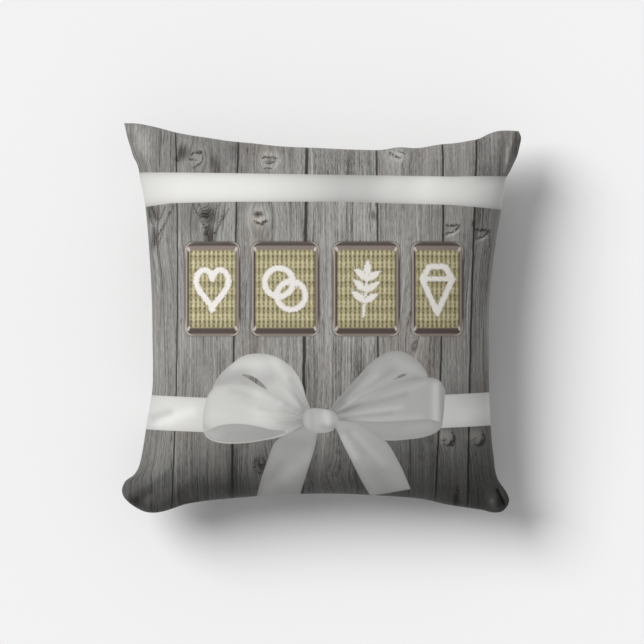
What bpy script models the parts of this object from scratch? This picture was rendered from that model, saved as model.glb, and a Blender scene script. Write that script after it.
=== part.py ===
"""Ring bearer pillow: a square printed cover, closed by a concealed zip, round a stuffed insert.

Metres, +Z up. The pillow lies on its back panel, with the printed front panel facing up and the
top edge of the print towards +Y. The origin is on the floor under the middle of the pillow.
"""

import math

import bmesh
import bpy
from mathutils import Matrix, Vector

MM = 0.001
COLLECTION = "ring_bearer_pillow"

# Heights
SEAM_HEIGHT = 62 * MM
FRONT_RISE = 78 * MM
BACK_DROP = 70 * MM  # how far the back would bulge below the seam if the floor didn't flatten it
FULLNESS = 0.95

# Plan of the seam, seen from above: four corners, how far each edge is from the middle of the
# pillow, and how late each half of an edge curves out towards its corner
TOP_LEFT = Vector((-198.3, 196.0)) * MM
TOP_RIGHT = Vector((209.8, 199.6)) * MM
BOTTOM_RIGHT = Vector((210.8, -210.5)) * MM
BOTTOM_LEFT = Vector((-222.2, -206.0)) * MM
TOP_MIDDLE = 167.5 * MM
BOTTOM_MIDDLE = -175.9 * MM
LEFT_MIDDLE = -168.8 * MM
RIGHT_MIDDLE = 168.2 * MM
TOP_CURVE = (1.7, 3.4)  # towards the left corner, towards the right corner
BOTTOM_CURVE = (1.75, 2.15)
LEFT_CURVE = (3.5, 2.5)  # towards the bottom corner, towards the top corner
RIGHT_CURVE = (5.0, 2.1)
CORNER_ROUNDING = {(-1, 1): 0.006, (1, 1): 0.063, (1, -1): 0.114, (-1, -1): 0.130}
CORNER_SHARPNESS = 9

# Panels
CELLS = 16
QUARTER_TURN = math.pi / 2
CELL_ANGLE = math.pi / CELLS  # a cell's share of the half turn from one edge to the other
FABRIC = 1.0 * MM
SEAM_GAP = 0.3 * MM
LIP_HEIGHT = 5.0 * MM  # from the seam to the widest line of a panel
LIP_TUCK = 0.016  # share of the plan by which the seam is tucked in behind that line
CORNER_LIP = 0.4  # share of the lip's height that is left at a corner

# Layers: plan scales, shift towards +Y and height scale, all about the middle of the seam, then how
# much further the layer's corners are drawn in
COVER = (1.0, 1.0, 0.0, 1.0, 0.0)
INSERT = (0.965, 0.955, 3.5 * MM, 0.975, 0.05)
FILL = (0.941, 0.931, 3.4 * MM, 0.951, 0.05)
COVER_THREAD = (0.988, 0.988, 0.0, 1.0, 0.0)
INSERT_THREAD = (0.9530, 0.9430, 3.45 * MM, 1.0, 0.05)
CORNER_REACH = 190 * MM  # how far the corners are from the middle, along X and along Y

# Concealed zip in the bottom seam. It follows the seam, which is an arc in plan
ZIP_RADIUS = 786 * MM
ZIP_LIP_Y = -172.8 * MM  # the lips' edge at the middle of the arc
ZIP_FROM = -114 * MM
ZIP_TO = 98 * MM
ZIP_LIP_GAP = 2.4 * MM
ZIP_LIP_REACH = 128 * MM
ZIP_STEPS = 20
SLIDER_X = -106 * MM
TAPE_DEPTH = (2.7 * MM, 3.3 * MM)  # depths are measured inwards from the lips' edge
TAPE_SPAN = (0.85 * MM, 11.0 * MM)
COIL_DEPTH = 4.6 * MM
COIL_OFFSET = 1.75 * MM
COIL_RADIUS = 0.95 * MM
STITCH_DEPTH = 3.95 * MM
STITCH_OFFSET = 8.5 * MM
THREAD_RADIUS = 0.3 * MM
STOP_LENGTH = 2.4 * MM
STOP_CLEARANCE = 0.3 * MM

# Slider and pull tab, in the slider's own frame: +X along the zip, -Y out of the pillow
PLATE_FRONT = (-1.5 * MM, -2.3 * MM)  # written as minus the depth
PLATE_BACK = (-5.95 * MM, -6.95 * MM)
SLIDER_HALF_LENGTH = 4.5 * MM
SLIDER_HALF_HEIGHT = 3.6 * MM
FLANGE_MOUTH = 3.9 * MM
FLANGE_WALL = 0.5 * MM
PLATE_HALF_HEIGHT = 3.0 * MM
POST_HALF_WIDTH = 0.45 * MM
CROWN_HALF_LENGTH = 2.5 * MM
CROWN_BAR = 0.75 * MM
CROWN_HALF_WIDTH = 0.7 * MM
CROWN_TOP = 4.1 * MM
CROWN_CORNER = 1.2 * MM
FACE_INSET = 1.0 * MM  # from the slider's ends to its front plate's ends
POST_INSET = (1.3 * MM, 3.5 * MM)  # from the slider's leading end to the post's two faces
TAB_AXIS = 2.6 * MM  # how far outside the lips' edge the tab turns
TAB_THICKNESS = 1.0 * MM
TAB_LENGTH = 22 * MM
TAB_HALF_WIDTH = 2.2 * MM
TAB_WINDOW_HALF = 0.95 * MM
TAB_WINDOW_END = 3.6 * MM
TAB_HOLE_RADIUS = 0.9 * MM
SOFT_EDGE = 0.3 * MM  # the rounding of the stops' edges
OVERLAP = 0.3 * MM  # how far joined shapes run into each other before their union
MERGE = 0.001 * MM  # vertices closer than this are one

# Care label, as grid angles on the back panel near the zip's far end
LABEL_ACROSS = (0.62, 0.74)
LABEL_ALONG = (-1.46, -1.26)
LABEL_LAYER = (0.975, 0.968, 0.0, 0.970, 0.0)
LABEL_GRID = (3, 4)
LABEL_THICKNESS = 0.4 * MM

COLOURS = {
    "printed_fabric": ((0.27, 0.26, 0.25), 0.80, 0.0),
    "back_fabric": ((0.27, 0.26, 0.25), 0.82, 0.0),
    "seam_thread": ((0.60, 0.60, 0.58), 0.60, 0.0),
    "insert_fabric": ((0.82, 0.81, 0.78), 0.85, 0.0),
    "fibre_fill": ((0.90, 0.90, 0.90), 0.95, 0.0),
    "zip_tape": ((0.42, 0.42, 0.41), 0.75, 0.0),
    "zip_coil": ((0.45, 0.45, 0.44), 0.35, 0.0),
    "zip_metal": ((0.55, 0.55, 0.56), 0.30, 1.0),
    "care_label": ((0.88, 0.88, 0.86), 0.50, 0.0),
}


# The pillow's form ---------------------------------------------------------------------------


def edge_offset(middle, start, end, powers, place):
    """Distance of an edge from the pillow's middle line, at a place from -1 to 1 along it."""
    corner, power = (start, powers[0]) if place < 0 else (end, powers[1])
    return middle + (corner - middle) * abs(place) ** power


def between(start, end, place):
    return start + (end - start) * (place + 1) / 2


def plan(across, up):
    """Plan position for a place in the square from -1 to 1 each way: a patch between four edges."""
    bottom = Vector(
        (
            between(BOTTOM_LEFT.x, BOTTOM_RIGHT.x, across),
            edge_offset(BOTTOM_MIDDLE, BOTTOM_LEFT.y, BOTTOM_RIGHT.y, BOTTOM_CURVE, across),
        )
    )
    top = Vector(
        (
            between(TOP_LEFT.x, TOP_RIGHT.x, across),
            edge_offset(TOP_MIDDLE, TOP_LEFT.y, TOP_RIGHT.y, TOP_CURVE, across),
        )
    )
    left = Vector(
        (
            edge_offset(LEFT_MIDDLE, BOTTOM_LEFT.x, TOP_LEFT.x, LEFT_CURVE, up),
            between(BOTTOM_LEFT.y, TOP_LEFT.y, up),
        )
    )
    right = Vector(
        (
            edge_offset(RIGHT_MIDDLE, BOTTOM_RIGHT.x, TOP_RIGHT.x, RIGHT_CURVE, up),
            between(BOTTOM_RIGHT.y, TOP_RIGHT.y, up),
        )
    )
    corners = between(
        between(BOTTOM_LEFT, BOTTOM_RIGHT, across), between(TOP_LEFT, TOP_RIGHT, across), up
    )
    point = between(bottom, top, up) + between(left, right, across) - corners
    rounding = CORNER_ROUNDING[(1 if across > 0 else -1, 1 if up > 0 else -1)]
    return point * (1 - rounding * abs(across * up) ** CORNER_SHARPNESS)


def zip_lip_y(x):
    """The lips' edge in plan, on the arc that the zip follows."""
    return ZIP_LIP_Y - ZIP_RADIUS + math.sqrt(ZIP_RADIUS**2 - x * x)


def dome_point(angle_across, angle_up, side):
    """A point of the cover's outer surface. side is 1 for the front, -1 for the back."""
    across, up = math.sin(angle_across), math.sin(angle_up)
    spot = plan(across, up)
    lip = LIP_HEIGHT * (1 - (1 - CORNER_LIP) * abs(across * up) ** CORNER_SHARPNESS)
    swell = max(0.0, math.cos(angle_across) * math.cos(angle_up)) ** FULLNESS
    if side > 0:
        return Vector((spot.x, spot.y, lip + (FRONT_RISE - lip) * swell))
    return Vector((spot.x, spot.y, -min(SEAM_HEIGHT, lip + (BACK_DROP - lip) * swell)))


def lip_point(angle_across, angle_up, side, opened):
    """A point of the tucked-in edge, where the two panels meet at the seam."""
    spot = plan(math.sin(angle_across), math.sin(angle_up)) * (1 - LIP_TUCK)
    height = SEAM_GAP / 2
    if opened and angle_up < -QUARTER_TURN + CELL_ANGLE / 2 and abs(spot.x) < ZIP_LIP_REACH:
        spot.y = zip_lip_y(spot.x)
        height = ZIP_LIP_GAP / 2
    return Vector((spot.x, spot.y, side * height))


def skin_point(angle_across, angle_up, side, opened):
    """A point of the cover's outer surface, or of its lip where an angle is past a quarter turn."""
    limit = QUARTER_TURN + CELL_ANGLE / 2
    if max(abs(angle_across), abs(angle_up)) < limit:
        return dome_point(angle_across, angle_up, side)
    inner_across = max(-QUARTER_TURN, min(QUARTER_TURN, angle_across))
    inner_up = max(-QUARTER_TURN, min(QUARTER_TURN, angle_up))
    return lip_point(inner_across, inner_up, side, opened)


def placed(point, layer):
    """Moves a point of the cover to the same place on another layer, and up to the seam."""
    scale_x, scale_y, shift_y, scale_z, draw_in = layer
    corner = 1 - draw_in * (point.x * point.y / CORNER_REACH**2) ** 2
    return Vector(
        (
            point.x * scale_x * corner,
            point.y * scale_y * corner + shift_y,
            SEAM_HEIGHT + point.z * scale_z,
        )
    )


def inside(layer):
    """The layer one fabric thickness further in."""
    scale_x, scale_y, shift_y, scale_z, draw_in = layer
    return (
        scale_x - FABRIC / RIGHT_MIDDLE,
        scale_y - FABRIC / RIGHT_MIDDLE,
        shift_y,
        scale_z - FABRIC / SEAM_HEIGHT,
        draw_in,
    )


def wrapped(name, surfaces, opened, slot, collection):
    """A closed skin: a flat slab, with its two faces wrapped onto two surfaces of the pillow.

    Each surface is a side and a layer. The slab's outermost ring of cells becomes the lip.
    """
    mesh = bmesh.new()
    segments = CELLS + 2
    size = QUARTER_TURN + CELL_ANGLE
    bmesh.ops.create_grid(mesh, x_segments=segments, y_segments=segments, size=size)
    raised = bmesh.ops.extrude_face_region(mesh, geom=mesh.faces[:], use_keep_orig=True)["geom"]
    for vert in raised:
        if isinstance(vert, bmesh.types.BMVert):
            vert.co.z = 1.0
    for vert in mesh.verts:
        side, layer = surfaces[round(vert.co.z)]
        vert.co = placed(skin_point(vert.co.x, vert.co.y, side, opened), layer)
    bmesh.ops.remove_doubles(mesh, verts=mesh.verts, dist=MERGE)
    return add_bmesh(name, mesh, slot, collection)


def lip_line(layer, height, skip_zip):
    """Points round the seam, in order, from the right end of the zip round to its left end."""
    step = CELL_ANGLE
    half = QUARTER_TURN
    spots = [(-half + i * step, -half) for i in range(CELLS // 2, CELLS)]
    spots += [(half, -half + i * step) for i in range(CELLS)]
    spots += [(half - i * step, half) for i in range(CELLS)]
    spots += [(-half, half - i * step) for i in range(CELLS)]
    spots += [(-half + i * step, -half) for i in range(CELLS // 2)]
    points = [placed(lip_point(*spot, 1, False), layer) for spot in spots]
    if skip_zip:
        points = [p for p in points if abs(p.x) > ZIP_LIP_REACH or p.y > -ZIP_LIP_REACH]
    return [Vector((p.x, p.y, height)) for p in points]


# Object helpers ------------------------------------------------------------------------------


def clear_scene():
    for obj in list(bpy.data.objects):
        bpy.data.objects.remove(obj, do_unlink=True)


def new_collection(name):
    made = bpy.data.collections.new(name)
    bpy.context.scene.collection.children.link(made)
    return made


def material(slot):
    made = bpy.data.materials.get(slot)
    if made is None:
        colour, roughness, metallic = COLOURS[slot]
        made = bpy.data.materials.new(slot)
        made.use_nodes = True
        shader = made.node_tree.nodes["Principled BSDF"]
        shader.inputs["Base Color"].default_value = (*colour, 1.0)
        shader.inputs["Roughness"].default_value = roughness
        shader.inputs["Metallic"].default_value = metallic
    return made


def add_object(name, data, slot, collection):
    obj = bpy.data.objects.new(name, data)
    collection.objects.link(obj)
    if slot:
        data.materials.append(material(slot))
    return obj


def add_bmesh(name, mesh, slot, collection):
    bmesh.ops.recalc_face_normals(mesh, faces=mesh.faces)
    data = bpy.data.meshes.new(name)
    mesh.to_mesh(data)
    mesh.free()
    data.shade_smooth()
    data.set_sharp_from_angle(angle=math.radians(40))
    return add_object(name, data, slot, collection)


def tube(name, points, radius, slot, collection, sides=1, closed=False):
    """A round thread or wire along a list of points."""
    data = bpy.data.curves.new(name, "CURVE")
    data.dimensions = "3D"
    data.bevel_depth = radius
    data.bevel_resolution = sides
    data.use_fill_caps = not closed
    spline = data.splines.new("POLY")
    spline.points.add(len(points) - 1)
    spline.use_cyclic_u = closed
    for place, point in zip(spline.points, points):
        place.co = (*point, 1.0)
    return add_object(name, data, slot, collection)


def plate(name, outlines, half_thickness, slot, collection):
    """A flat plate in its own XY plane, from closed outlines; the second and later are holes."""
    data = bpy.data.curves.new(name, "CURVE")
    data.dimensions = "2D"
    data.fill_mode = "BOTH"
    data.extrude = half_thickness
    for outline in outlines:
        spline = data.splines.new("POLY")
        spline.points.add(len(outline) - 1)
        spline.use_cyclic_u = True
        for place, point in zip(spline.points, outline):
            place.co = (point[0], point[1], 0.0, 1.0)
    return add_object(name, data, slot, collection)


def as_mesh(obj):
    """Turns a curve into a mesh object of the same name, so that it can be cut or joined."""
    bpy.context.view_layer.update()
    graph = bpy.context.evaluated_depsgraph_get()
    data = bpy.data.meshes.new_from_object(obj.evaluated_get(graph))
    mesh = bmesh.new()
    mesh.from_mesh(data)
    bmesh.ops.remove_doubles(mesh, verts=mesh.verts, dist=MERGE)
    bmesh.ops.recalc_face_normals(mesh, faces=mesh.faces)
    mesh.to_mesh(data)
    mesh.free()
    name, place, collection = obj.name, obj.matrix_world.copy(), obj.users_collection[0]
    bpy.data.objects.remove(obj, do_unlink=True)
    made = bpy.data.objects.new(name, data)
    made.matrix_world = place
    collection.objects.link(made)
    return made


def box(name, low, high, slot, collection):
    """A block between two opposite corners."""
    low, high = Vector(low), Vector(high)
    mesh = bmesh.new()
    bmesh.ops.create_cube(mesh, size=1.0)
    bmesh.ops.scale(mesh, vec=high - low, verts=mesh.verts)
    bmesh.ops.translate(mesh, vec=(low + high) / 2, verts=mesh.verts)
    return add_bmesh(name, mesh, slot, collection)


def join_shape(obj, other):
    """Adds a helper's volume to an object."""
    other.hide_render = True
    other.display_type = "WIRE"
    union = obj.modifiers.new(f"join_{other.name}", "BOOLEAN")
    union.operation = "UNION"
    union.object = other


def arc(radius, start, end, steps, centre=(0.0, 0.0)):
    """Points on an arc, by angle in radians."""
    return [
        (
            centre[0] + radius * math.cos(start + (end - start) * i / steps),
            centre[1] + radius * math.sin(start + (end - start) * i / steps),
        )
        for i in range(steps + 1)
    ]


# Soft layers ---------------------------------------------------------------------------------


def panel(name, side, layer, opened, slot, collection):
    """One fabric panel: an outer and an inner skin, joined along the seam's edge."""
    return wrapped(name, ((side, inside(layer)), (side, layer)), opened, slot, collection)


def filling(name, layer, slot, collection):
    """The stuffing: front and back halves closed by a narrow band at the seam."""
    return wrapped(name, ((-1, layer), (1, layer)), False, slot, collection)


def care_label(collection):
    """A blank satin label that lies between the back panel and the insert."""
    mesh = bmesh.new()
    bmesh.ops.create_grid(mesh, x_segments=LABEL_GRID[0], y_segments=LABEL_GRID[1], size=1.0)
    for vert in mesh.verts:
        across = between(*LABEL_ACROSS, vert.co.x)
        along = between(*LABEL_ALONG, vert.co.y)
        vert.co = placed(dome_point(across, along, -1), LABEL_LAYER)
    made = add_bmesh("care_label", mesh, "care_label", collection)
    thicken = made.modifiers.new("thickness", "SOLIDIFY")
    thicken.thickness = LABEL_THICKNESS
    thicken.offset = 0.0
    return made


def build_soft_parts(collection):
    panel("cover_front_panel", 1, COVER, True, "printed_fabric", collection)
    panel("cover_back_panel", -1, COVER, True, "back_fabric", collection)
    panel("insert_front_panel", 1, INSERT, False, "insert_fabric", collection)
    panel("insert_back_panel", -1, INSERT, False, "insert_fabric", collection)
    filling("fibre_fill", FILL, "fibre_fill", collection)
    points = lip_line(COVER_THREAD, SEAM_HEIGHT, True)
    tube("cover_seam_thread", points, THREAD_RADIUS, "seam_thread", collection)
    points = lip_line(INSERT_THREAD, SEAM_HEIGHT, False)
    tube("insert_seam_thread", points, THREAD_RADIUS, "seam_thread", collection, closed=True)
    care_label(collection)


# Zip -----------------------------------------------------------------------------------------


def zip_point(x, depth):
    """A plan point on the zip's arc, given where its lip is along X and its depth behind it."""
    angle = math.asin(x / ZIP_RADIUS)
    radius = ZIP_RADIUS + depth
    centre_y = ZIP_LIP_Y - ZIP_RADIUS
    return Vector((radius * math.sin(angle), centre_y + radius * math.cos(angle)))


def zip_line(depth, start=ZIP_FROM, end=ZIP_TO):
    steps = max(2, round(ZIP_STEPS * (end - start) / (ZIP_TO - ZIP_FROM)))
    return [zip_point(start + (end - start) * i / steps, depth) for i in range(steps + 1)]


def zip_frame(x):
    """Where the slider's frame is when it is at x: on the lips' edge, turned along the arc."""
    spot = zip_point(x, 0.0)
    turn = Matrix.Rotation(-math.asin(x / ZIP_RADIUS), 4, "Z")
    return Matrix.Translation((spot.x, spot.y, SEAM_HEIGHT)) @ turn


def zip_side(collection, word, up):
    """The tape, coil and stitching of one side of the zip. up is 1 above the seam, -1 below."""
    strip = zip_line(TAPE_DEPTH[0]) + zip_line(TAPE_DEPTH[1])[::-1]
    half = (TAPE_SPAN[1] - TAPE_SPAN[0]) / 2
    tape = plate(f"zipper_tape_{word}", [strip], half, "zip_tape", collection)
    tape.location.z = SEAM_HEIGHT + up * (TAPE_SPAN[0] + half)

    coil_end = STOP_LENGTH + STOP_CLEARANCE
    height = SEAM_HEIGHT + up * COIL_OFFSET
    line = zip_line(COIL_DEPTH, ZIP_FROM + coil_end, ZIP_TO - coil_end)
    coil = [(*spot, height) for spot in line]
    tube(f"zipper_coil_{word}", coil, COIL_RADIUS, "zip_coil", collection)

    height = SEAM_HEIGHT + up * STITCH_OFFSET
    seam = [(*spot, height) for spot in zip_line(STITCH_DEPTH)]
    tube(f"zipper_stitch_{word}", seam, THREAD_RADIUS, "seam_thread", collection)

    low = COIL_OFFSET - COIL_RADIUS
    high = COIL_OFFSET + COIL_RADIUS
    stop = box(
        f"zipper_top_stop_{word}",
        (-STOP_LENGTH / 2, COIL_DEPTH - COIL_RADIUS, min(up * low, up * high)),
        (STOP_LENGTH / 2, COIL_DEPTH + COIL_RADIUS, max(up * low, up * high)),
        "zip_metal",
        collection,
    )
    stop.matrix_world = zip_frame(ZIP_FROM + STOP_LENGTH / 2)
    soften(stop)


def soften(obj):
    bevel = obj.modifiers.new("rounded_edges", "BEVEL")
    bevel.width = SOFT_EDGE
    bevel.segments = 2
    bevel.limit_method = "ANGLE"


def bottom_stop(collection):
    """The clip across both coils at the end where the zip is open."""
    high = COIL_OFFSET + COIL_RADIUS
    stop = box(
        "zipper_bottom_stop",
        (-STOP_LENGTH / 2, COIL_DEPTH - COIL_RADIUS, -high),
        (STOP_LENGTH / 2, COIL_DEPTH + COIL_RADIUS, high),
        "zip_metal",
        collection,
    )
    stop.matrix_world = zip_frame(ZIP_TO - STOP_LENGTH / 2)
    soften(stop)


def channel_outline():
    """The slider's back in section: a plate whose two flanges wrap round the coils."""
    back, front = -PLATE_BACK[1], -PLATE_BACK[0]
    outer, inner = SLIDER_HALF_HEIGHT, SLIDER_HALF_HEIGHT - FLANGE_WALL
    half = [(back, outer), (FLANGE_MOUTH, outer), (FLANGE_MOUTH, inner), (front, inner)]
    return half + [(depth, -height) for depth, height in reversed(half)]


def crown_outlines():
    """The bridge on the slider's face that holds the tab's bar: a plate with a slot through it."""
    half, bar, corner = CROWN_HALF_LENGTH, CROWN_BAR, CROWN_CORNER
    foot = -PLATE_FRONT[0] + OVERLAP
    outer = [(half, foot)]
    outer += arc(corner, 0.0, -math.pi / 2, 4, (half - corner, corner - CROWN_TOP))
    outer += arc(corner, -math.pi / 2, -math.pi, 4, (corner - half, corner - CROWN_TOP))
    outer += [(-half, foot)]
    inner_half = half - bar
    inner_top = CROWN_TOP - bar
    slot = [(inner_half, -OVERLAP), (inner_half, -inner_top)]
    slot += [(-inner_half, -inner_top), (-inner_half, -OVERLAP)]
    return [outer, slot]


def slider(collection, helpers):
    """The slider: back channel, post between the coils, front plate and the bridge for the tab."""
    length = SLIDER_HALF_LENGTH
    channel = plate("slider_channel", [channel_outline()], length, None, helpers)
    channel = as_mesh(channel)
    section_to_frame = Matrix(((0, 0, 1, 0), (1, 0, 0, 0), (0, 1, 0, 0), (0, 0, 0, 1)))
    channel.data.transform(section_to_frame)
    channel.name = "zipper_slider"
    helpers.objects.unlink(channel)
    collection.objects.link(channel)
    channel.data.materials.clear()
    channel.data.materials.append(material("zip_metal"))

    face = box(
        "slider_face",
        (FACE_INSET - length, -PLATE_FRONT[0], -PLATE_HALF_HEIGHT),
        (length - FACE_INSET, -PLATE_FRONT[1], PLATE_HALF_HEIGHT),
        None,
        helpers,
    )
    post = box(
        "slider_post",
        (length - POST_INSET[1], -PLATE_FRONT[1] - OVERLAP, -POST_HALF_WIDTH),
        (length - POST_INSET[0], -PLATE_BACK[0] + OVERLAP, POST_HALF_WIDTH),
        None,
        helpers,
    )
    crown = as_mesh(plate("slider_crown", crown_outlines(), CROWN_HALF_WIDTH, None, helpers))
    frame = zip_frame(SLIDER_X)
    for shape in (channel, face, post, crown):
        shape.matrix_world = frame
    for shape in (post, face, crown):
        join_shape(channel, shape)


def pull_tab(collection):
    """The tab: a flat strip with a window near its hinged end, whose end bar is under the bridge."""
    half = TAB_HALF_WIDTH
    bar = TAB_THICKNESS / 2
    end_centre = TAB_LENGTH - half
    outline = [(-bar, -half)]
    outline += arc(half, -math.pi / 2, math.pi / 2, 10, (end_centre, 0.0))
    outline += [(-bar, half)]
    window = [(bar, -TAB_WINDOW_HALF), (TAB_WINDOW_END, -TAB_WINDOW_HALF)]
    window += [(TAB_WINDOW_END, TAB_WINDOW_HALF), (bar, TAB_WINDOW_HALF)]
    hole = arc(TAB_HOLE_RADIUS, 0.0, 2 * math.pi * 11 / 12, 11, (end_centre, 0.0))
    tab = plate("zipper_pull_tab", [outline, window, hole], TAB_THICKNESS / 2, "zip_metal", collection)
    tab.matrix_world = (
        zip_frame(SLIDER_X)
        @ Matrix.Translation((0.0, -TAB_AXIS, 0.0))
        @ Matrix.Rotation(math.pi / 2, 4, "X")
    )


def build_zip(collection, helpers):
    zip_side(collection, "upper", 1)
    zip_side(collection, "lower", -1)
    bottom_stop(collection)
    slider(collection, helpers)
    pull_tab(collection)


clear_scene()
pillow = new_collection(COLLECTION)
cutters = new_collection("joined_shapes")
build_soft_parts(pillow)
build_zip(pillow, cutters)
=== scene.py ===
"""Ring bearer pillow: cloth, print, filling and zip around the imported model."""

import math
from functools import partial, partialmethod

import bpy
import numpy as np
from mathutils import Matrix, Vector


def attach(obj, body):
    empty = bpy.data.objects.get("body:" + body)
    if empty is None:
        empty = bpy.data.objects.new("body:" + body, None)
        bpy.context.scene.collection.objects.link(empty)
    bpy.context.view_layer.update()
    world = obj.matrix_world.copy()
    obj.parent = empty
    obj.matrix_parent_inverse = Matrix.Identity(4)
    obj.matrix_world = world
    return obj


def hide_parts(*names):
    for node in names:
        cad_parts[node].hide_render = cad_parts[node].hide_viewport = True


MM = 0.001
QUARTER = math.pi / 2
FAR = 1e9
TINY = 1e-9

# Form, in millimetres, with z up from the seam
SEAM_Z = 62.0
FRONT_RISE = 78.0
BACK_DROP = 70.0
FULLNESS = 0.95  # how square the dome's section is; less is squarer
HALF_SHEET = 203.0  # half of the flat panel
HALF_PLAN = 168.0  # half of the stuffed one, across the middle of its edges
LIP = 5.0  # height of the panel's edge over the seam, and its share left at the corners
CORNER_LIP = 0.4
CORNER_SHARPNESS = 9
LIP_TUCK = 2.8  # how far in the seam is from the panel's edge
SEAM_GAP = 0.15
COARSE = 96  # cells along the simulated grid; the shown one has twice as many
RINGS = 6
SEAM_STEPS = 520
SEAM_THREAD_TUCK = 2.4
CLOTH = 0.5
PRINT_PITCH = 0.55  # between the threads of the printed cloth
LABEL_CLOTH = 0.3
LABEL_ROWS, LABEL_COLUMNS = (-1.46, -1.26, 12), (0.62, 0.74, 8)  # grid angles from, to, and points
LUMPS = (((61, 23, 40), 0.3), ((-35, 72, 18), 1.9), ((18, -44, 90), 4.1))  # waves in the filling
FLOOR_SOFTNESS = 1.5  # how gently the back turns where it meets the floor

# Cloth simulation
FRAMES = 22
LARGEST_SHIFT = 9.0
SLACK_FROM, SLACK_FULL = 0.45, 0.97  # shares of the way from the middle to the edge
CLOTH_SETTINGS = dict(
    quality=6, mass=0.15, tension_stiffness=14, compression_stiffness=14, shear_stiffness=6,
    bending_stiffness=0.35, tension_damping=8, compression_damping=8, air_damping=4,
    use_pressure=True, uniform_pressure_force=3.5, shrink_min=0.0, shrink_max=-0.06,
)

# The zip follows an arc in the bottom seam
ZIP_RADIUS = 786.0
ZIP_LIP_Y = -172.8
ZIP_HALF_GAP = 1.2
ZIP_BLEND = (134.0, 124.0)  # |x| where the lips begin to part and where they are parted
ZIP_HIDDEN = 128.0
ZIP_SIDE_Y = -150.0
ZIP_FROM = -114.0
ZIP_TO = 98.0
COIL_INSET = 2.7
COIL_PITCH = 1.3
COIL_TURNS = (4.6, 0.68, 1.75, 0.85)  # depth and its swing, height and its swing
STITCH_DEPTH, STITCH_DIP, STITCH_HEIGHT = 3.95, 0.45, 8.5
STITCH, STITCH_STEP = 2.4, 3.0

# Layers: plan scale along X and Y, shift towards +Y, height scale, draw-in at the corners
COVER = (1.0, 1.0, 0.0, 1.0, 0.0)
INSERT = (0.965, 0.955, 3.5, 0.965, 0.115)
FILL = (0.941, 0.931, 3.4, 0.945, 0.115)
LABEL = (0.976, 0.970, 0.0, 0.970, 0.0)
CORNER_REACH = 190.0

# The seam in plan: four edges through a few points each
TOP_EDGE = [
    (-196, 194.2), (-185.5, 194.2), (-173, 192.2), (-160, 189.2), (-146, 185.4), (-127, 181.8),
    (-112, 179.6), (-91, 176.4), (-70, 174.4), (-40, 171.2), (0, 169.4), (40, 167.7), (62, 167.7),
    (78, 170.2), (95, 169.3), (120, 173.1), (137, 174.6), (148, 176.6), (158, 178.6), (167, 183),
    (176, 186.2), (185, 187), (198.2, 186.4),
]
RIGHT_EDGE = [
    (187.6, -187.4), (188.7, -182), (186.7, -176), (182.2, -168.8), (177.8, -162.6),
    (175.1, -154.5), (173.3, -141), (171.5, -126), (170.3, -112), (169.2, -95), (168.6, -70),
    (168.3, -40), (168, -10), (168.4, 15), (170.2, 35), (172.5, 56), (174.8, 72), (177, 87),
    (179.5, 101), (182, 115), (184, 129), (184.9, 138), (188, 143.5), (192, 151.5),
    (196.5, 161.2), (199.2, 171.9), (200.6, 180), (198.2, 186.4),
]
BOTTOM_EDGE = [
    (-191, -185.5), (-183.7, -190.3), (-174.7, -194.2), (-165.8, -195), (-156.9, -193.6),
    (-146, -190.2), (-138, -187.4), (-121, -184), (-94, -180.9), (-70, -179), (-45, -177.2),
    (-20, -176.2), (0, -175.9), (25, -176.1), (50, -177.3), (79, -179), (95, -180.4),
    (107, -182.2), (120, -185.4), (135, -188.2), (146, -189.8), (155, -191.2), (162, -192.2),
    (169, -194.1), (176, -194.9), (182.4, -193.2), (187.6, -187.4),
]
LEFT_EDGE = [
    (-191, -185.5), (-196.8, -178.7), (-198.4, -173), (-197.4, -168), (-194.4, -162.8),
    (-187.4, -158), (-182.8, -151.9), (-180.3, -145), (-177.4, -131), (-175.2, -117),
    (-172.9, -102), (-170, -86), (-168, -72), (-167.4, -50), (-167.9, -20), (-168.4, 15),
    (-170, 50), (-171.3, 70), (-173, 92), (-174.8, 110), (-177, 124), (-179.7, 136.5),
    (-181.5, 147), (-183.2, 153.5), (-186.6, 160), (-189.8, 170), (-193.2, 181), (-196, 194.2),
]
# Folds pressed into the front near the corners: start, end, half width, height
FOLDS = [
    ((193.5, 186), (184.5, 142), 2.4, 4.2),
    ((176, -171), (184.5, -188), 2.4, -5.0),
    ((168, -158), (177, -173), 4.0, -1.2),
    ((171, -183), (178, -191), 3.5, 3.0),
    ((-184.5, 190), (-181, 153), 4.0, 1.4),
    ((-190, -176), (-150, -150), 6.0, 3.4),
    ((-160, -189), (-128, -160), 7.0, 2.6),
    ((-150, 178), (-128, 150), 8.0, -0.9),
    ((150, 170), (120, 140), 9.0, 0.9),
    ((-186, -186), (-168, -176), 4.5, -2.6),
]

# Print: planks, marks, ribbon, tiles
PLANK_GAPS = [  # x at the top, middle and bottom, half width
    (-143.8, -141.8, -147.3, 0.35), (-81.8, -85.0, -87.8, 0.7), (-13.6, -15.6, -18.3, 1.6),
    (55.7, 56.7, 55.7, 0.6), (121.7, 120.3, 114.7, 0.7), (155.7, 149.7, 146.7, 0.8),
]
GAP_REACH = 172.0
KNOTS = [  # x, y, half width, half height, how much the grain parts round it
    (-123.3, 158.5, 12, 13, 0.8), (-50.5, 156.5, 11, 11, 0.85), (-61, 99, 10, 11, 0.85),
    (76.7, 161.5, 11, 8, 0.7), (52.7, 100.5, 5, 7, 0.8), (128, 90, 9, 10, 0.7),
    (158, 86, 9, 10, 0.7), (125, -122, 9, 9, 0.75), (155.3, -122, 9, 9, 0.75),
    (-59.3, -146.5, 10, 16, 0.9), (14, -150, 9, 20, 0.35),
]
VEES = [(-110.3, 92.5, 20, 36), (-163.3, 92.5, 16, 36), (96, -20, 14, 60)]
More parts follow.
